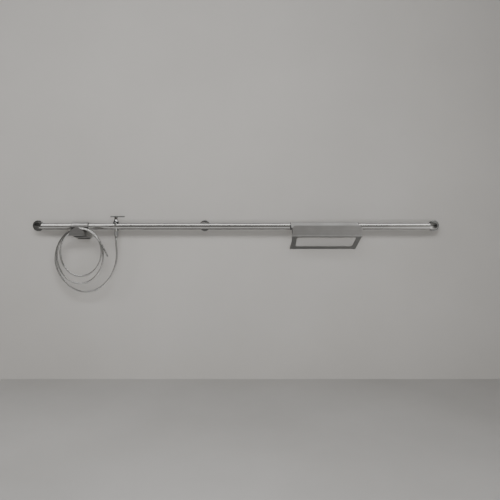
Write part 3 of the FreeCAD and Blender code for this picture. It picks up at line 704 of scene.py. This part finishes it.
def make_cover(name, node, x, hole_r):
    """Pressed cover ring over a wall plate, with a rolled rim and a small lip round the tube."""
    depth, wall, bend = ROSETTE_DEPTH, ROSETTE_T, 0.003
    hole_r += GAP
    profile = [(ROSETTE_R - wall, 0.0), (ROSETTE_R, 0.0003)]
    profile += arc((ROSETTE_R - bend, depth - bend), bend, 0, 90, 8)
    profile += [(hole_r + 0.0006, depth), (hole_r, depth - 0.0004), (hole_r, depth - wall)]
    profile += arc((ROSETTE_R - bend, depth - bend), bend - wall, 90, 0, 5)
    mesh = lathe((x, 0, 0), (0, -1, 0), profile, loop=True, steps=FINE_STEPS)
    show(name, mesh, SHADED_STEEL, "root", node)


def make_post():
    """Round post from the middle plate to the rail, with a small weld where it meets the tube."""
    weld = 0.0018

    def seat(radius):
        return lambda turn: RAIL_OUT - math.sqrt(RAIL_R ** 2 - (radius * math.sin(turn)) ** 2)

    profile = [(0, PLATE_T), (POST_R, PLATE_T), (POST_R, RAIL_OUT - RAIL_R - 2 * weld)]
    for share in (0.25, 0.5, 0.75, 1.0):
        radius = POST_R + weld * share ** 2
        level = seat(radius)
        profile.append((radius, lambda turn, level=level, gap=weld * (1 - share): level(turn) - gap))
    profile += [(POST_R, seat(POST_R)), (POST_R / 2, seat(POST_R / 2)), (0, RAIL_OUT - RAIL_R)]
    show("rail_post", lathe((MIDDLE_X, 0, 0), (0, -1, 0), profile), RAIL_STEEL, "root", "middle_post")


def socket_screw(place, axis, radius, length, key):
    """Headless screw: a turned point with thread rings, and a hexagon socket in its outer end."""
    profile = [(0, 0), (radius * 0.55, 0), (radius * 0.8, radius * 0.3)]
    pitch = 0.0007
    threads = int((length - radius) / pitch)
    for i in range(threads):
        low = radius * 0.4 + i * pitch
        profile += [(radius * 0.84, low), (radius, low + pitch / 2)]
    profile += [(radius, length - radius * 0.2), (radius * 0.84, length)]
    profile += [(hexagon(key), length), (hexagon(key), length * 0.55), (0, length * 0.5)]
    return lathe(place, axis, profile, steps=SCREW_STEPS)


def make_grub_screws():
    low, high, _ = box("plate_grub_screws")
    for name, x in (("left_grub_screw", LEFT_X), ("right_grub_screw", RIGHT_X)):
        mesh = socket_screw((x, -GRUB_OUT, high.z), (0, 0, -1), GRUB_R, high.z - low.z, 0.00125)
        show(name, mesh, SCREW_STEEL, "root", "plate_grub_screws")


# ---- tap ----

COLLAR_EDGE = 0.002
TAP_GROOVE = 0.0006


def on_rail(radius, side):
    """Height of the rail's surface at a radius from the tap's axis, above (+1) or below (-1) it."""
    return lambda turn: side * math.sqrt(RAIL_R ** 2 - (radius * math.sin(turn)) ** 2)


def make_collar():
    low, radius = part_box("tap_collar")[0], half_width("tap_collar")
    bore = box("tap_body")[1].x - TAP_X
    profile = [(bore, on_rail(bore, -1)), (radius, on_rail(radius, -1))]
    profile += [(radius, lambda turn: min(on_rail(radius, -1)(turn), low.z + 0.0052) - 0.0001)]
    groove_r = radius - 0.0008
    profile += [(groove_r, low.z + 0.0045), (groove_r, low.z + 0.0038), (radius, low.z + 0.0032)]
    profile += arc((radius - COLLAR_EDGE, low.z + COLLAR_EDGE), COLLAR_EDGE, 0, -90, 6) + [(bore, low.z)]
    mesh = on_tap(profile, loop=True, steps=FINE_STEPS)
    show("tap_collar_ring", mesh, MIRROR_STEEL, "root", "tap_collar")


def make_bonnet():
    """Flared dome over the tap's neck, seated on the rail."""
    foot, top = half_width("tap_bonnet"), box("tap_bonnet")[1].z
    band_r, hole_r = 0.011, 0.0047
    edge = RAIL_R - 0.001
    waist = (0.017, RAIL_R + 0.0095)
    profile = [(0.0132, on_rail(0.0132, 1)), (foot, on_rail(foot, 1))]
    profile += [(foot, lambda turn: max(on_rail(foot, 1)(turn), edge - 0.001) + 0.0001)]
    profile += arc_through((foot - 0.0002, edge + 0.0004), waist, (band_r, top - 0.005), 14)
    groove_r = band_r - TAP_GROOVE
    profile += [(groove_r, top - 0.0046), (groove_r, top - 0.0040), (band_r, top - 0.0036)]
    profile += [(band_r, top - 0.0012)] + arc((band_r - 0.0012, top - 0.0012), 0.0012, 0, 90, 4)
    profile += [(hole_r + 0.0005, top), (hole_r, top - 0.0005), (hole_r, RAIL_R + 0.017)]
    profile += [(0.0107, RAIL_R + 0.017), (0.0107, RAIL_R + 0.0012), (0.0132, RAIL_R + 0.001)]
    mesh = on_tap(profile, loop=True, steps=FINE_STEPS)
    show("tap_dome", mesh, MIRROR_STEEL, "root", "tap_bonnet")


def make_handle():
    """Hub with a crowned top, the cross bar through it and its grub screw."""
    low, high, centre = box("handle_hub")
    bar_low, bar_high, bar_mid = box("handle_bar")
    screw_low, screw_high, screw_mid = box("handle_screw")
    radius, crown = (high.x - low.x) / 2, 0.0012
    bar_r = (bar_high.z - bar_low.z) / 2
    stem_r, stem_top, groove_r = 0.0042, bar_mid.z - bar_r - 0.001, radius - TAP_GROOVE
    profile = [(0, stem_top), (stem_r, stem_top), (stem_r, low.z)]
    profile += [(groove_r, low.z), (radius, low.z + TAP_GROOVE)]
    profile += [(radius, low.z + 0.0022), (groove_r, low.z + 0.0026), (groove_r, low.z + 0.0032)]
    profile += [(radius, low.z + 0.0036)]
    profile += arc((radius - 0.002, high.z - crown - 0.002), 0.002, 0, 75, 6)
    profile += [(radius * 0.6, high.z - crown * 0.45), (radius * 0.3, high.z - crown * 0.1), (0, high.z)]
    mesh = lathe((centre.x, centre.y, 0), (0, 0, 1), profile)
    bar_hole = drill((centre.x, centre.y, bar_mid.z), (1, 0, 0), bar_r, -CUT_REACH, CUT_REACH)
    screw_r = half_width("handle_screw")
    screw_place = (centre.x, centre.y, screw_mid.z)
    screw_hole = drill(screw_place, (0, -1, 0), screw_r + GAP, 0.001, CUT_REACH, SCREW_STEPS)
    show("tap_handle_hub", cut(mesh, bar_hole, screw_hole), SHADED_STEEL, "tap_handle", "handle_hub")

    ease = 0.0022
    profile = [(0, bar_low.x)]
    profile += [(r, h) for h, r in arc((bar_low.x + ease, bar_r - ease), ease, 180, 90, 6)]
    profile += [(r, h) for h, r in arc((bar_high.x - ease, bar_r - ease), ease, 90, 0, 6)]
    profile += [(0, bar_high.x)]
    mesh = lathe((0, centre.y, bar_mid.z), (1, 0, 0), profile, steps=48)
    show("tap_handle_bar", mesh, SHADED_STEEL, "tap_handle", "handle_bar")

    place = (centre.x, screw_high.y, screw_mid.z)
    mesh = socket_screw(place, (0, -1, 0), screw_r, screw_high.y - screw_low.y, 0.001)
    show("tap_handle_screw", mesh, SCREW_STEEL, "tap_handle", "handle_screw")


def make_nut():
    """Outlet nut: a fluted grip between two plain bands."""
    low, high, _ = box("outlet_nut")
    radius, barb, bore = half_width("outlet_nut"), half_width("hose_barb"), 0.0066
    grip = fluted(radius, 0.0007, 24)
    inner = radius - 0.0009
    floor = low.z + 0.013
    profile = [(bore, low.z), (radius - 0.0045, low.z)]
    profile += arc((radius - 0.0045, low.z + 0.0035), 0.0035, -80, 0, 6)
    profile += [(inner, low.z + 0.0060), (grip, low.z + 0.0070), (grip, high.z - 0.0060)]
    profile += [(inner, high.z - 0.0052), (radius - 0.0002, high.z - 0.0044), (radius, high.z - 0.0040)]
    profile += [(radius, high.z - TAP_GROOVE), (radius - TAP_GROOVE, high.z)]
    profile += [(barb, high.z), (barb, floor), (bore, floor)]
    mesh = on_tap(profile, loop=True, steps=2 * FINE_STEPS)
    show("tap_outlet_nut", mesh, MIRROR_STEEL, "root", "outlet_nut")


# ---- hose ----

HOSE_PITCH = 0.004
HOSE_RIB = 0.00014
HOSE_BORE = 0.0034
HOSE_OPEN = 0.06  # how far in the free end is hollow
HOSE_STEPS = 18
RINGS_PER_PITCH = 5


def hose_mesh(route):
    """Tube with a true spiral rib along the route, hollow at its free end."""
    points = np.array([tuple(p) for p in route])
    legs = np.linalg.norm(np.diff(points, axis=0), axis=1)
    along = np.concatenate([[0.0], np.cumsum(legs)])
    headings = np.gradient(points, along, axis=0)
    count = round(along[-1] / HOSE_PITCH * RINGS_PER_PITCH)
    up = Vector((0, -1, 0))

    def station(distance):
        place = Vector([np.interp(distance, along, points[:, k]) for k in range(3)])
        heading = Vector([np.interp(distance, along, headings[:, k]) for k in range(3)]).normalized()
        side = heading.cross(up).normalized()
        return place, side, side.cross(heading).normalized()

    def ring(distance, radius, rib=0.0):
        place, side, lift = station(distance)
        made = []
        for i in range(HOSE_STEPS):
            turn = math.tau * i / HOSE_STEPS
            wave = 0.5 - 0.5 * math.cos(math.tau * distance / HOSE_PITCH - turn)
            made.append(place + (side * math.cos(turn) + lift * math.sin(turn)) * (radius - rib * wave ** 2))
        return made

    ease = 0.0006
    length = along[-1]
    rings = [[station(0)[0]], ring(0, HOSE_R - HOSE_RIB)]
    rings += [ring(length * i / count, HOSE_R, HOSE_RIB) for i in range(1, count)]
    rings += [ring(length - ease / 2, HOSE_R - ease / 2), ring(length, HOSE_R - ease)]
    rings += [ring(length, HOSE_BORE + ease), ring(length - ease, HOSE_BORE)]
    rings += [ring(length - HOSE_OPEN, HOSE_BORE), [station(length - HOSE_OPEN)[0]]]
    return skin(rings)


def make_ferrule():
    """Crimped ferrule that tapers into a ribbed strain relief round the hose."""
    low, high, _ = box("hose_ferrule")
    radius, tip, bore = half_width("hose_ferrule"), 0.0064, HOSE_R - 0.0002
    middle = (low.z + high.z) / 2
    profile = [(bore, high.z), (radius - 0.0006, high.z), (radius, high.z - 0.0006)]
    for i in range(3):
        top = high.z - 0.0028 - 0.0034 * i
        profile += [(radius, top), (radius - 0.0007, top - 0.0006), (radius - 0.0007, top - 0.0014)]
        profile += [(radius, top - 0.0020)]
    ribs = 5
    step = (middle - low.z) / ribs
    for i in range(ribs):
        top = middle - step * i
        wide = radius + (tip - radius) * i / ribs
        slim = radius + (tip - radius) * (i + 1) / ribs
        profile += [(wide, top), (slim, top - step * 0.55), (slim - 0.0004, top - step * 0.7)]
        profile += [(slim - 0.0004, top - step * 0.85)]
    profile += [(tip, low.z + 0.0003), (tip - 0.0003, low.z), (bore, low.z)]
    mesh = on_tap(profile, loop=True)
    return show("hose_end_ferrule", mesh, MIRROR_STEEL, "root", "hose_ferrule")


def make_hose(ferrule):
    route = hose_route()
    mesh = hose_mesh(route)
    hose = show("washing_hose", mesh, HOSE_SKIN, "root", "hose_run", "hose_coil", "hose_tail", weighted=False)


# ---- hose holder ----


def holder_slope():
    return math.atan2(SADDLE_Z - HOLDER_LEG_Z, FRONT_OUT)


def mirrored(right, left):
    """Outline of a plate from its right side and the mirror image of its left side."""
    return [(HOLDER_X + x, s) for x, s in right] + [(HOLDER_X - x, s) for x, s in reversed(left)]


def make_hose_hook():
    """Sheet hooked over the rail; its front runs down as a round back plate for the saddle."""
    hook_r = LINER_R + SHEET_T / 2
    low = SADDLE_Z - (FRONT_OUT - RAIL_OUT - hook_r) * math.tan(holder_slope()) + SHEET_T / 2
    spans = fold_path(round_rail(HOOK_BACK, hook_r), HOOK_BACK - 90, [(hook_r, -HOOK_BACK), -low])
    bend = hook_r * math.radians(HOOK_BACK)
    shoulder, centre, end = bend - SHOULDER_Z, bend - SADDLE_Z, bend - low
    neck = math.degrees(math.acos(NECK_HALF / BACK_R))
    foot = math.degrees(math.asin((end - centre) / BACK_R))
    half = HOLDER_HALF
    tops = rounded([(half, 0, 0.004), (half, shoulder, 0.005), (NECK_HALF, shoulder, 0.003),
                    (NECK_HALF, centre - BACK_R * math.sin(math.radians(neck)), 0)], 0.003)
    side = tops[:-1] + arc((0, centre), BACK_R, -neck, foot, 24)
    outline = mirrored(side, side)
    show("hose_holder_hook", folded_sheet([outline], SHEET_T, spans), HOSE_STEEL, "root", "hose_hook")


def on_saddle(turn, out, radius):
    """Point at an angle and a radius round the saddle's centre."""
    return at(HOLDER_X + radius * math.cos(turn), out, SADDLE_Z + radius * math.sin(turn))


def make_saddle():
    """Half-round plate with eased edges."""
    inner, out_from, out_to = SADDLE_R - SHEET_T, HOLDER_BACK, FRONT_OUT - SHEET_T
    corners = [(out_from, SADDLE_R), (out_to, SADDLE_R), (out_to, inner), (out_from, inner)]
    section = rounded(corners, 0.0003, 3)
    rings = []
    count = 48
    for i in range(count + 1):
        turn = math.pi * i / count
        rings.append([on_saddle(turn, out, radius) for out, radius in section])
    show("hose_holder_saddle", skin(rings), HOSE_STEEL, "root", "hose_saddle")


def weld_bead(name, out, side):
    """Rippled weld run inside the saddle's curve, where it meets a plate."""
    sunk = 0.0002
    radius = SADDLE_R - SHEET_T + sunk
    rings = []
    count = 150
    for i in range(count + 1):
        turn = math.pi * (0.02 + 0.96 * i / count)
        swell = WELD * (0.85 + 0.15 * abs(math.sin(i * 0.9)))
        ring = []
        for k in range(9):
            angle = math.pi / 2 * k / 8
            sideways, inward = swell * math.sin(angle) - sunk, swell * math.cos(angle)
            ring.append(on_saddle(turn, out + side * sideways, radius - inward))
        ring.append(on_saddle(turn, out - side * sunk, radius))
        rings.append(ring)
    show(name, skin(rings), PLATE_STEEL, "root")


def make_hose_front():
    """Half-round front plate folded back into a leg that spreads to the holder's width at the wall."""
    slope = holder_slope()
    turn = 90 - math.degrees(slope)
    leg = (FRONT_OUT - SHEET_T - PAD_T - 2 * FOLD_R * (1 - math.sin(slope))) / math.cos(slope)
    flat = DISC_R - FOLD_R + 0.001
    moves = [flat, (FOLD_R, -turn), leg, (FOLD_R, turn), HOLDER_FLANGE]
    spans = fold_path((FRONT_OUT - SHEET_T / 2, SADDLE_Z + DISC_R), -90, moves)
    leg_from = spans[2][0]
    leg_to = spans[3][0]
    end = spans[4][0] + HOLDER_FLANGE
    front, relief = HOLDER_LEG_FRONT / 2, 0.0015
    disc = arc((0, DISC_R), DISC_R, -90, 0, 32)
    wing = rounded([(DISC_R, DISC_R - 0.0005, 0), (DISC_R - 0.0005, DISC_R, 0),
                    (front + relief, DISC_R, 0.0005),
                    (front + relief, flat - 0.002, 0.0007), (front, flat - 0.002, 0.0007),
                    (front, leg_from, 0), (HOLDER_HALF, leg_to, 0), (HOLDER_HALF, end, 0.003)], 0.001)
    side = disc[:-1] + wing
    mesh = folded_sheet(
        [mirrored(side, side[1:])], SHEET_T, spans,
        is_flat=lambda x, along: abs(x - HOLDER_X) > front + relief / 2 and along < DISC_R + 0.0001,
    )
    show("hose_holder_front", mesh, HOSE_STEEL, "root", "hose_front")


def clip_section(inner, outer, edge=CLIP_EDGE):
    """C-shaped section of a liner or clip round the rail."""
    lip = math.degrees(edge / outer)
    over, under = LINER_FROM - lip, LINER_TO + lip
    points = [round_rail(angle, outer) for angle in np.linspace(over, under, 45)]
    points += [round_rail(LINER_TO, outer - edge), round_rail(LINER_TO, inner + edge)]
    points += [round_rail(angle, inner) for angle in np.linspace(under, over, 45)]
    return points + [round_rail(LINER_FROM, inner + edge), round_rail(LINER_FROM, outer - edge)]


def clip_mesh(stations):
    """Clip through (x, inner radius, outer radius) stations."""
    rings = [[at(x, *point) for point in clip_section(inner, outer)] for x, inner, outer in stations]
    return skin(rings)


def make_hose_liner():
    low, high, _ = box("hose_liner")
    end = (RAIL_R + 0.0002, LINER_R - CLIP_EDGE)
    stations = [(low.x, *end), (low.x + CLIP_EDGE, RAIL_R, LINER_R)]
    stations += [(high.x - CLIP_EDGE, RAIL_R, LINER_R), (high.x, *end)]
    show("hose_holder_liner", clip_mesh(stations), RUBBER, "root", "hose_liner")


def wall_bumper(low, high, ridges):
    """Section of a rubber pad on a leg's foot, with shallow ridges against the wall."""
    edge = 0.0006
    front, back = -low.y, -high.y
    step = (high.z - low.z) / ridges
    wall_side = []
    for i in range(ridges):
        base = low.z + step * i
        wall_side += [(back, base + step * 0.10), (back, base + step * 0.65)]
        wall_side += [(back + edge, base + step * 0.75), (back + edge, base + step)]
    section = wall_side[:-2] + [(back + edge, high.z), (front - edge, high.z), (front, high.z - edge)]
    return section + [(front, low.z + edge), (front - edge, low.z), (back + edge, low.z)]


def make_bumpers():
    ridges, end_edge, width = 4, 0.0008, 0.060
    low, high, _ = box("hose_wall_pad")
    mesh = extruded(wall_bumper(low, high, ridges), low.x, high.x, end_edge)
    show("hose_holder_bumper", mesh, RUBBER, "root", "hose_wall_pad")
    low, high, _ = box("bike_wall_pads")
    section = wall_bumper(low, high, ridges)
    for name, x_from in (("left_wall_bumper", low.x), ("right_wall_bumper", high.x - width)):
        mesh = extruded(section, x_from, x_from + width, end_edge)
        show(name, mesh, RUBBER, "bike_holder", "bike_wall_pads")


# ---- bicycle holder ----


def slope_length():
    start = round_rail(90 - SLOPE, BIKE_HOOK_R)[0]
    bend = FOLD_R * (1 + math.sin(math.radians(SLOPE)))
    return (LIP_MID - SHEET_T - start - bend) / math.cos(math.radians(SLOPE))


def make_bike_hook():
    """Sheet hooked over the rail that slopes down to the lip and turns up behind it."""
    wrap = HOOK_BACK - (90 - SLOPE)
    moves = [(BIKE_HOOK_R, -wrap), slope_length(), (FOLD_R, 90 + SLOPE), FLANGE_UP]
    spans = fold_path(round_rail(HOOK_BACK, BIKE_HOOK_R), HOOK_BACK - 90, moves)
    end = spans[-1][0] + FLANGE_UP
    low, high = BIKE_LOW.x, BIKE_HIGH.x
    top_r, flange_r = 0.005, 0.002
    corners = [(low, 0, top_r), (high, 0, top_r), (high, end, flange_r), (low, end, flange_r)]
    outline = rounded(corners, flange_r, 6)
    show("bike_holder_hook", folded_sheet([outline], SHEET_T, spans), BIKE_STEEL, "bike_holder", "bike_hook")


def make_bike_frame():
    """Lip in front of the top tube, an open leg back to the wall and a foot turned up there, in one sheet."""
    reach = LIP_MID - PAD_T - SHEET_T / 2 - 2 * FOLD_R
    slope = math.atan2(LIP_BOTTOM_Z - SHEET_T / 2 - BIKE_LOW.z, reach)
    tilt = math.degrees(slope)
    lip = LIP_TOP_Z - LIP_BOTTOM_Z - FOLD_R
    moves = [lip, (FOLD_R, tilt - 90), reach / math.cos(slope), (FOLD_R, -90 - tilt), LEG_FLANGE]
    spans = fold_path((LIP_MID, LIP_TOP_Z), -90, moves)
    begin, _, leg_out, _, _, _ = spans[2]
    end = spans[4][0] + LEG_FLANGE
    low, high = BIKE_LOW.x, BIKE_HIGH.x
    outline = rounded(
        [(low, 0, LIP_CORNER_R), (high, 0, LIP_CORNER_R),
         (high, end, FOOT_CORNER_R), (low, end, FOOT_CORNER_R)],
        0, 12,
    )
    window_from = begin + (leg_out - (LIP_OUT - WINDOW_FRONT)) / math.cos(slope)
    window_to = begin + (leg_out - WINDOW_BACK) / math.cos(slope)
    left, right = low + WINDOW_SIDE, high - WINDOW_SIDE
    window = rounded(
        [(left, window_from), (right, window_from), (right, window_to), (left, window_to)],
        WINDOW_CORNER_R, 10,
    )
    mesh = folded_sheet([outline, window], SHEET_T, spans)
    show("bike_holder_frame", mesh, BIKE_STEEL, "bike_holder", "bike_frame")


def make_trough_rubber():
    """Rubber bed in the trough, grooved across the slope and up the back of the lip."""
    turn = math.radians(SLOPE)
    along, up = Vector((math.cos(turn), -math.sin(turn))), Vector((math.sin(turn), math.cos(turn)))
    centre = Vector(round_rail(90 - SLOPE, BIKE_HOOK_R)) + along * slope_length() + up * FOLD_R
    inner = FOLD_R - SHEET_T / 2
    low = centre - up * inner
    face = centre.x + inner
    top = LIP_TOP_Z - LIP_CORNER_R
    back = low - along * TROUGH_PAD_LENGTH
    back_up = back + up * TROUGH_PAD_T
    inside = face - TROUGH_PAD_T
    corner = Vector((inside, back_up.y - (inside - back_up.x) * math.tan(turn)))
    groove, depth, pitch = 0.0022, 0.0011, 0.0065
    section = [(face, centre.y + FLANGE_UP), (face + SHEET_T, centre.y + FLANGE_UP + 0.0002)]
    section += [(face + SHEET_T, top - 0.0012), (face + SHEET_T - 0.0012, top)]
    section += [(inside + 0.0018, top), (inside, top - 0.0018)]
    drop = top - 0.006
    while drop > corner.y + pitch:
        section += [(inside, drop), (inside + depth, drop - 0.0003)]
        section += [(inside + depth, drop - groove + 0.0003), (inside, drop - groove)]
        drop -= pitch
    round_r = 0.004
    section += [tuple(corner + Vector((0, round_r * 0.8))), tuple(corner + Vector((-0.0012, 0.0012)))]
    section += [tuple(corner - along * round_r * 0.8)]
    place = 0.008
    reach = (corner - back_up).length
    while place < reach - pitch:
        spot = corner - along * place
        for step, sink in ((0, 0), (0.0003, depth), (groove - 0.0003, depth), (groove, 0)):
            section.append(tuple(spot - along * step - up * sink))
        place += pitch
    section += [tuple(back_up + along * 0.003), tuple(back_up + along * 0.0008 - up * 0.001)]
    section += [tuple(back + up * 0.0014), tuple(back + along * 0.0004), tuple(low)]
    section += arc(centre, inner, -90 - SLOPE, 0, 8)[1:]
    mesh = extruded(section, BIKE_LOW.x, BIKE_HIGH.x, 0.0010)
    show("bike_trough_rubber", mesh, RUBBER, "bike_holder", "trough_pad")


def make_glides():
    """Moulded clips on the rail, each with a rim at its outer end."""
    low, high, _ = box("rail_glides")
    inner, rim_r, rim_t = RAIL_R + RUNNING, 0.0275, 0.003
    length, gap, edge = 0.060, 0.0003, CLIP_EDGE
    for name, end, side in (("left_rail_glide", low.x, 1), ("right_rail_glide", high.x, -1)):
        stations = [
            (0, inner + 0.0003, rim_r - edge), (edge, inner, rim_r), (rim_t - edge, inner, rim_r),
            (rim_t - 0.0001, inner, rim_r - edge), (rim_t, inner, LINER_R + 0.0004),
            (rim_t + 0.0004, inner, LINER_R), (rim_t + gap + length - edge, inner, LINER_R),
            (rim_t + gap + length, inner + 0.0003, LINER_R - edge),
        ]
        mesh = clip_mesh([(end + side * step, small, large) for step, small, large in stations])
        show(name, mesh, MOULDING, "glides", "rail_glides")


# ---- the CAD nodes that stay, and the room ----

KEPT = [
    (PLATE_STEEL, ["left_wall_plate", "middle_wall_plate", "right_wall_plate"]),
    (PIPE, ["feed_pipe"]),
    (RUBBER, ["feed_seal", "cartridge_seal", "spindle_seals", "outlet_washer"]),
    (BRASS, ["tap_body", "cartridge_housing", "spindle", "hose_barb"]),
    (CERAMIC, ["fixed_disc", "turning_disc"]),
]


def paint_kept_nodes():
    for paint, names in KEPT:
        for name in names:
            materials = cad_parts[name].data.materials
            materials.clear()
            materials.append(paint)


def stage_sheet(name, corners, paint):
    mesh = bpy.data.meshes.new(name)
    mesh.from_pydata(corners, [], [(0, 1, 2, 3)])
    mesh.materials.append(paint)
    sheet = bpy.data.objects.new(name, mesh)
    bpy.context.scene.collection.objects.link(sheet)
    return sheet


def wall_paint():
    """Warm grey plaster, clear from behind so that the back of the rack can be looked at."""
    paint = Paint("wall_plaster")
    cloud = paint.noise(1.3, (1, 1, 1), 4.0)
    fine = paint.noise(90, (1, 1, 1), 4.0)
    paint.set(Base_Color=paint.colours(cloud, (0.40, 0.385, 0.365), (0.43, 0.415, 0.395)))
    paint.shader.inputs["Roughness"].default_value = 0.75
    paint.bump((fine, 0.06, 0.001))
    clear = paint.node("ShaderNodeBsdfTransparent").outputs[0]
    behind = paint.node("ShaderNodeNewGeometry").outputs["Backfacing"]
    mix = paint.node("ShaderNodeMixShader", i0=behind, i1=paint.shader.outputs[0], i2=clear)
    paint.tree.links.new(mix.outputs[0], paint.tree.nodes["Material Output"].inputs["Surface"])
    return paint.material


def floor_paint():
    paint = Paint("floor_screed")
    cloud = paint.noise(1.1, (1, 1, 1), 5.0)
    paint.set(Base_Color=paint.colours(cloud, (0.40, 0.39, 0.375), (0.46, 0.45, 0.435)))
    paint.shader.inputs["Roughness"].default_value = 0.6
    return paint.material


def make_room():
    floor_z, wide, deep, high = -1.045, 14.0, 12.0, 6.0
    wall_y = 0.0006
    wall = stage_sheet(
        "wall",
        [(-wide, wall_y, floor_z), (wide, wall_y, floor_z), (wide, wall_y, high), (-wide, wall_y, high)],
        wall_paint(),
    )
    wall.visible_glossy = False  # the metal mirrors the room instead
    floor = stage_sheet(
        "floor",
        [(-wide, -deep, floor_z), (wide, -deep, floor_z), (wide, deep, floor_z), (-wide, deep, floor_z)],
        floor_paint(),
    )
    floor.visible_glossy = False


def area_light(name, place, target, size, power, diffuse=True, glossy=True):
    """Soft rectangular lamp; it may light surfaces, show in reflections, or both."""
    data = bpy.data.lights.new(name, "AREA")
    data.shape = "RECTANGLE"
    data.size, data.size_y = size
    data.energy = power
    lamp = bpy.data.objects.new(name, data)
    lamp.location = place
    lamp.rotation_euler = (Vector(target) - Vector(place)).to_track_quat("-Z", "Y").to_euler()
    lamp.visible_diffuse = diffuse
    lamp.visible_glossy = glossy
    lamp.visible_camera = False
    bpy.context.scene.collection.objects.link(lamp)


# The room seen in the metal: brightness against side (left to right), depth (front to back) and height.
ROOM_SIDES = [(0, 0.14), (0.25, 0.20), (0.40, 0.26), (0.60, 0.32), (0.74, 0.9), (0.86, 0.5), (0.96, 0.08)]
ROOM_DEPTHS = [(0, 1.0), (0.5, 1.0), (0.86, 0.45), (0.98, 0.25)]
ROOM_HEIGHTS = [(0, 0.8), (0.10, 1.0), (0.22, 0.75), (0.32, 1.0), (0.56, 1.0), (0.64, 0.2), (0.8, 0.35)]
ROOM_BACKGROUND = 0.42


def grey_ramp(tree, factor, levels):
    made = tree.nodes.new("ShaderNodeValToRGB")
    tree.links.new(factor, made.inputs["Fac"])
    bands = made.color_ramp.elements
    for index, (place, level) in enumerate(levels):
        band = bands[index] if index < len(bands) else bands.new(place)
        band.position, band.color = place, (level, level * 0.99, level * 0.97, 1)
    return made.outputs["Color"]


def make_world():
    """Soft room for the reflections, brightest to the right, and a plain grey background to look at."""
    world = bpy.data.worlds.new("studio")
    world.use_nodes = True
    tree = world.node_tree
    sky = tree.nodes["Background"]
    place = tree.nodes.new("ShaderNodeTexCoord")
    halved = tree.nodes.new("ShaderNodeMapping")
    halved.inputs["Location"].default_value = halved.inputs["Scale"].default_value = (0.5, 0.5, 0.5)
    tree.links.new(place.outputs["Generated"], halved.inputs["Vector"])
    split = tree.nodes.new("ShaderNodeSeparateXYZ")
    tree.links.new(halved.outputs[0], split.inputs[0])
    product = tree.nodes.new("ShaderNodeMath")
    product.operation = "MULTIPLY"
    tree.links.new(grey_ramp(tree, split.outputs["X"], ROOM_SIDES), sky.inputs["Color"])
    tree.links.new(grey_ramp(tree, split.outputs["Y"], ROOM_DEPTHS), product.inputs[0])
    tree.links.new(grey_ramp(tree, split.outputs["Z"], ROOM_HEIGHTS), product.inputs[1])
    tree.links.new(product.outputs[0], sky.inputs["Strength"])
    plain = tree.nodes.new("ShaderNodeBackground")
    grey = ROOM_BACKGROUND
    plain.inputs["Color"].default_value = (grey, grey * 0.985, grey * 0.96, 1)
    seen = tree.nodes.new("ShaderNodeLightPath").outputs["Is Camera Ray"]
    mix = tree.nodes.new("ShaderNodeMixShader")
    tree.links.new(seen, mix.inputs[0])
    tree.links.new(sky.outputs[0], mix.inputs[1])
    tree.links.new(plain.outputs[0], mix.inputs[2])
    tree.links.new(mix.outputs[0], tree.nodes["World Output"].inputs["Surface"])
    bpy.context.scene.world = world


# The wall stays light in the bicycle holder's window, as under light from all round it.
UNSHADED = [
    "bike_holder_frame", "bike_holder_hook", "bike_trough_rubber", "left_rail_glide", "right_rail_glide",
]

# Name, place, target, size and power of each lamp.
LAMPS = [
    ("key_light", (0.0, -3.2, 2.05), (0.0, 0, -0.1), (1.8, 0.9), 68),
    ("front_fill", (0.0, -3.4, 0.2), (0.0, 0, -0.1), (3.4, 2.2), 26),
    ("left_light", (-3.2, -2.3, 1.5), (-1.5, 0, -0.1), (1.0, 1.0), 34),
    ("low_light", (0.9, -3.6, -0.7), (0.7, 0, -0.2), (3.5, 0.5), 26),
    ("floor_light", (0.3, -2.6, 1.6), (0.3, -2.6, -1.0), (4.0, 1.0), 25),
]
REFLECTED_PANELS = [
    ("overhead_panel", (0.2, -1.02, 2.0), (0.2, -0.1, 0), (4.5, 0.6), 38),
    ("left_panel", (-1.9, -2.6, 1.3), (-0.9, -0.1, 0), (1.1, 0.4), 4),
    ("back_panel", (0.2, 1.25, 2.0), (0.2, -0.1, 0), (4.5, 1.1), 14),
    ("low_panel", (0.2, -0.80, -0.92), (0.2, -0.08, 0), (4.5, 0.35), 5),
]


def make_light():
    """Lamps that light the surfaces, and panels that show only as highlights in the metal."""
    for lamp in LAMPS:
        area_light(*lamp, glossy=False)
    for panel in REFLECTED_PANELS:
        area_light(*panel, diffuse=False)
    for name in UNSHADED:
        bpy.data.objects[name].visible_shadow = False


def main():
    make_camera()
    make_hose(make_ferrule())
    make_rail()
    make_elbow("left_rail_bend", "left_elbow", LEFT_X, 1)
    make_elbow("right_rail_bend", "right_elbow", RIGHT_X, -1)
    make_cover("left_cover_ring", "left_rosette", LEFT_X, RAIL_R)
    make_cover("middle_cover_ring", "middle_rosette", MIDDLE_X, POST_R)
    make_cover("right_cover_ring", "right_rosette", RIGHT_X, RAIL_R)
    make_post()
    make_grub_screws()
    make_collar()
    make_bonnet()
    make_handle()
    make_nut()
    make_hose_hook()
    make_saddle()
    weld_bead("saddle_back_weld", HOLDER_BACK, 1)
    weld_bead("saddle_front_weld", FRONT_OUT - SHEET_T, -1)
    make_hose_front()
    make_hose_liner()
    make_bumpers()
    make_bike_hook()
    make_bike_frame()
    make_trough_rubber()
    make_glides()
    paint_kept_nodes()
    make_room()
    make_world()
    make_light()


main()
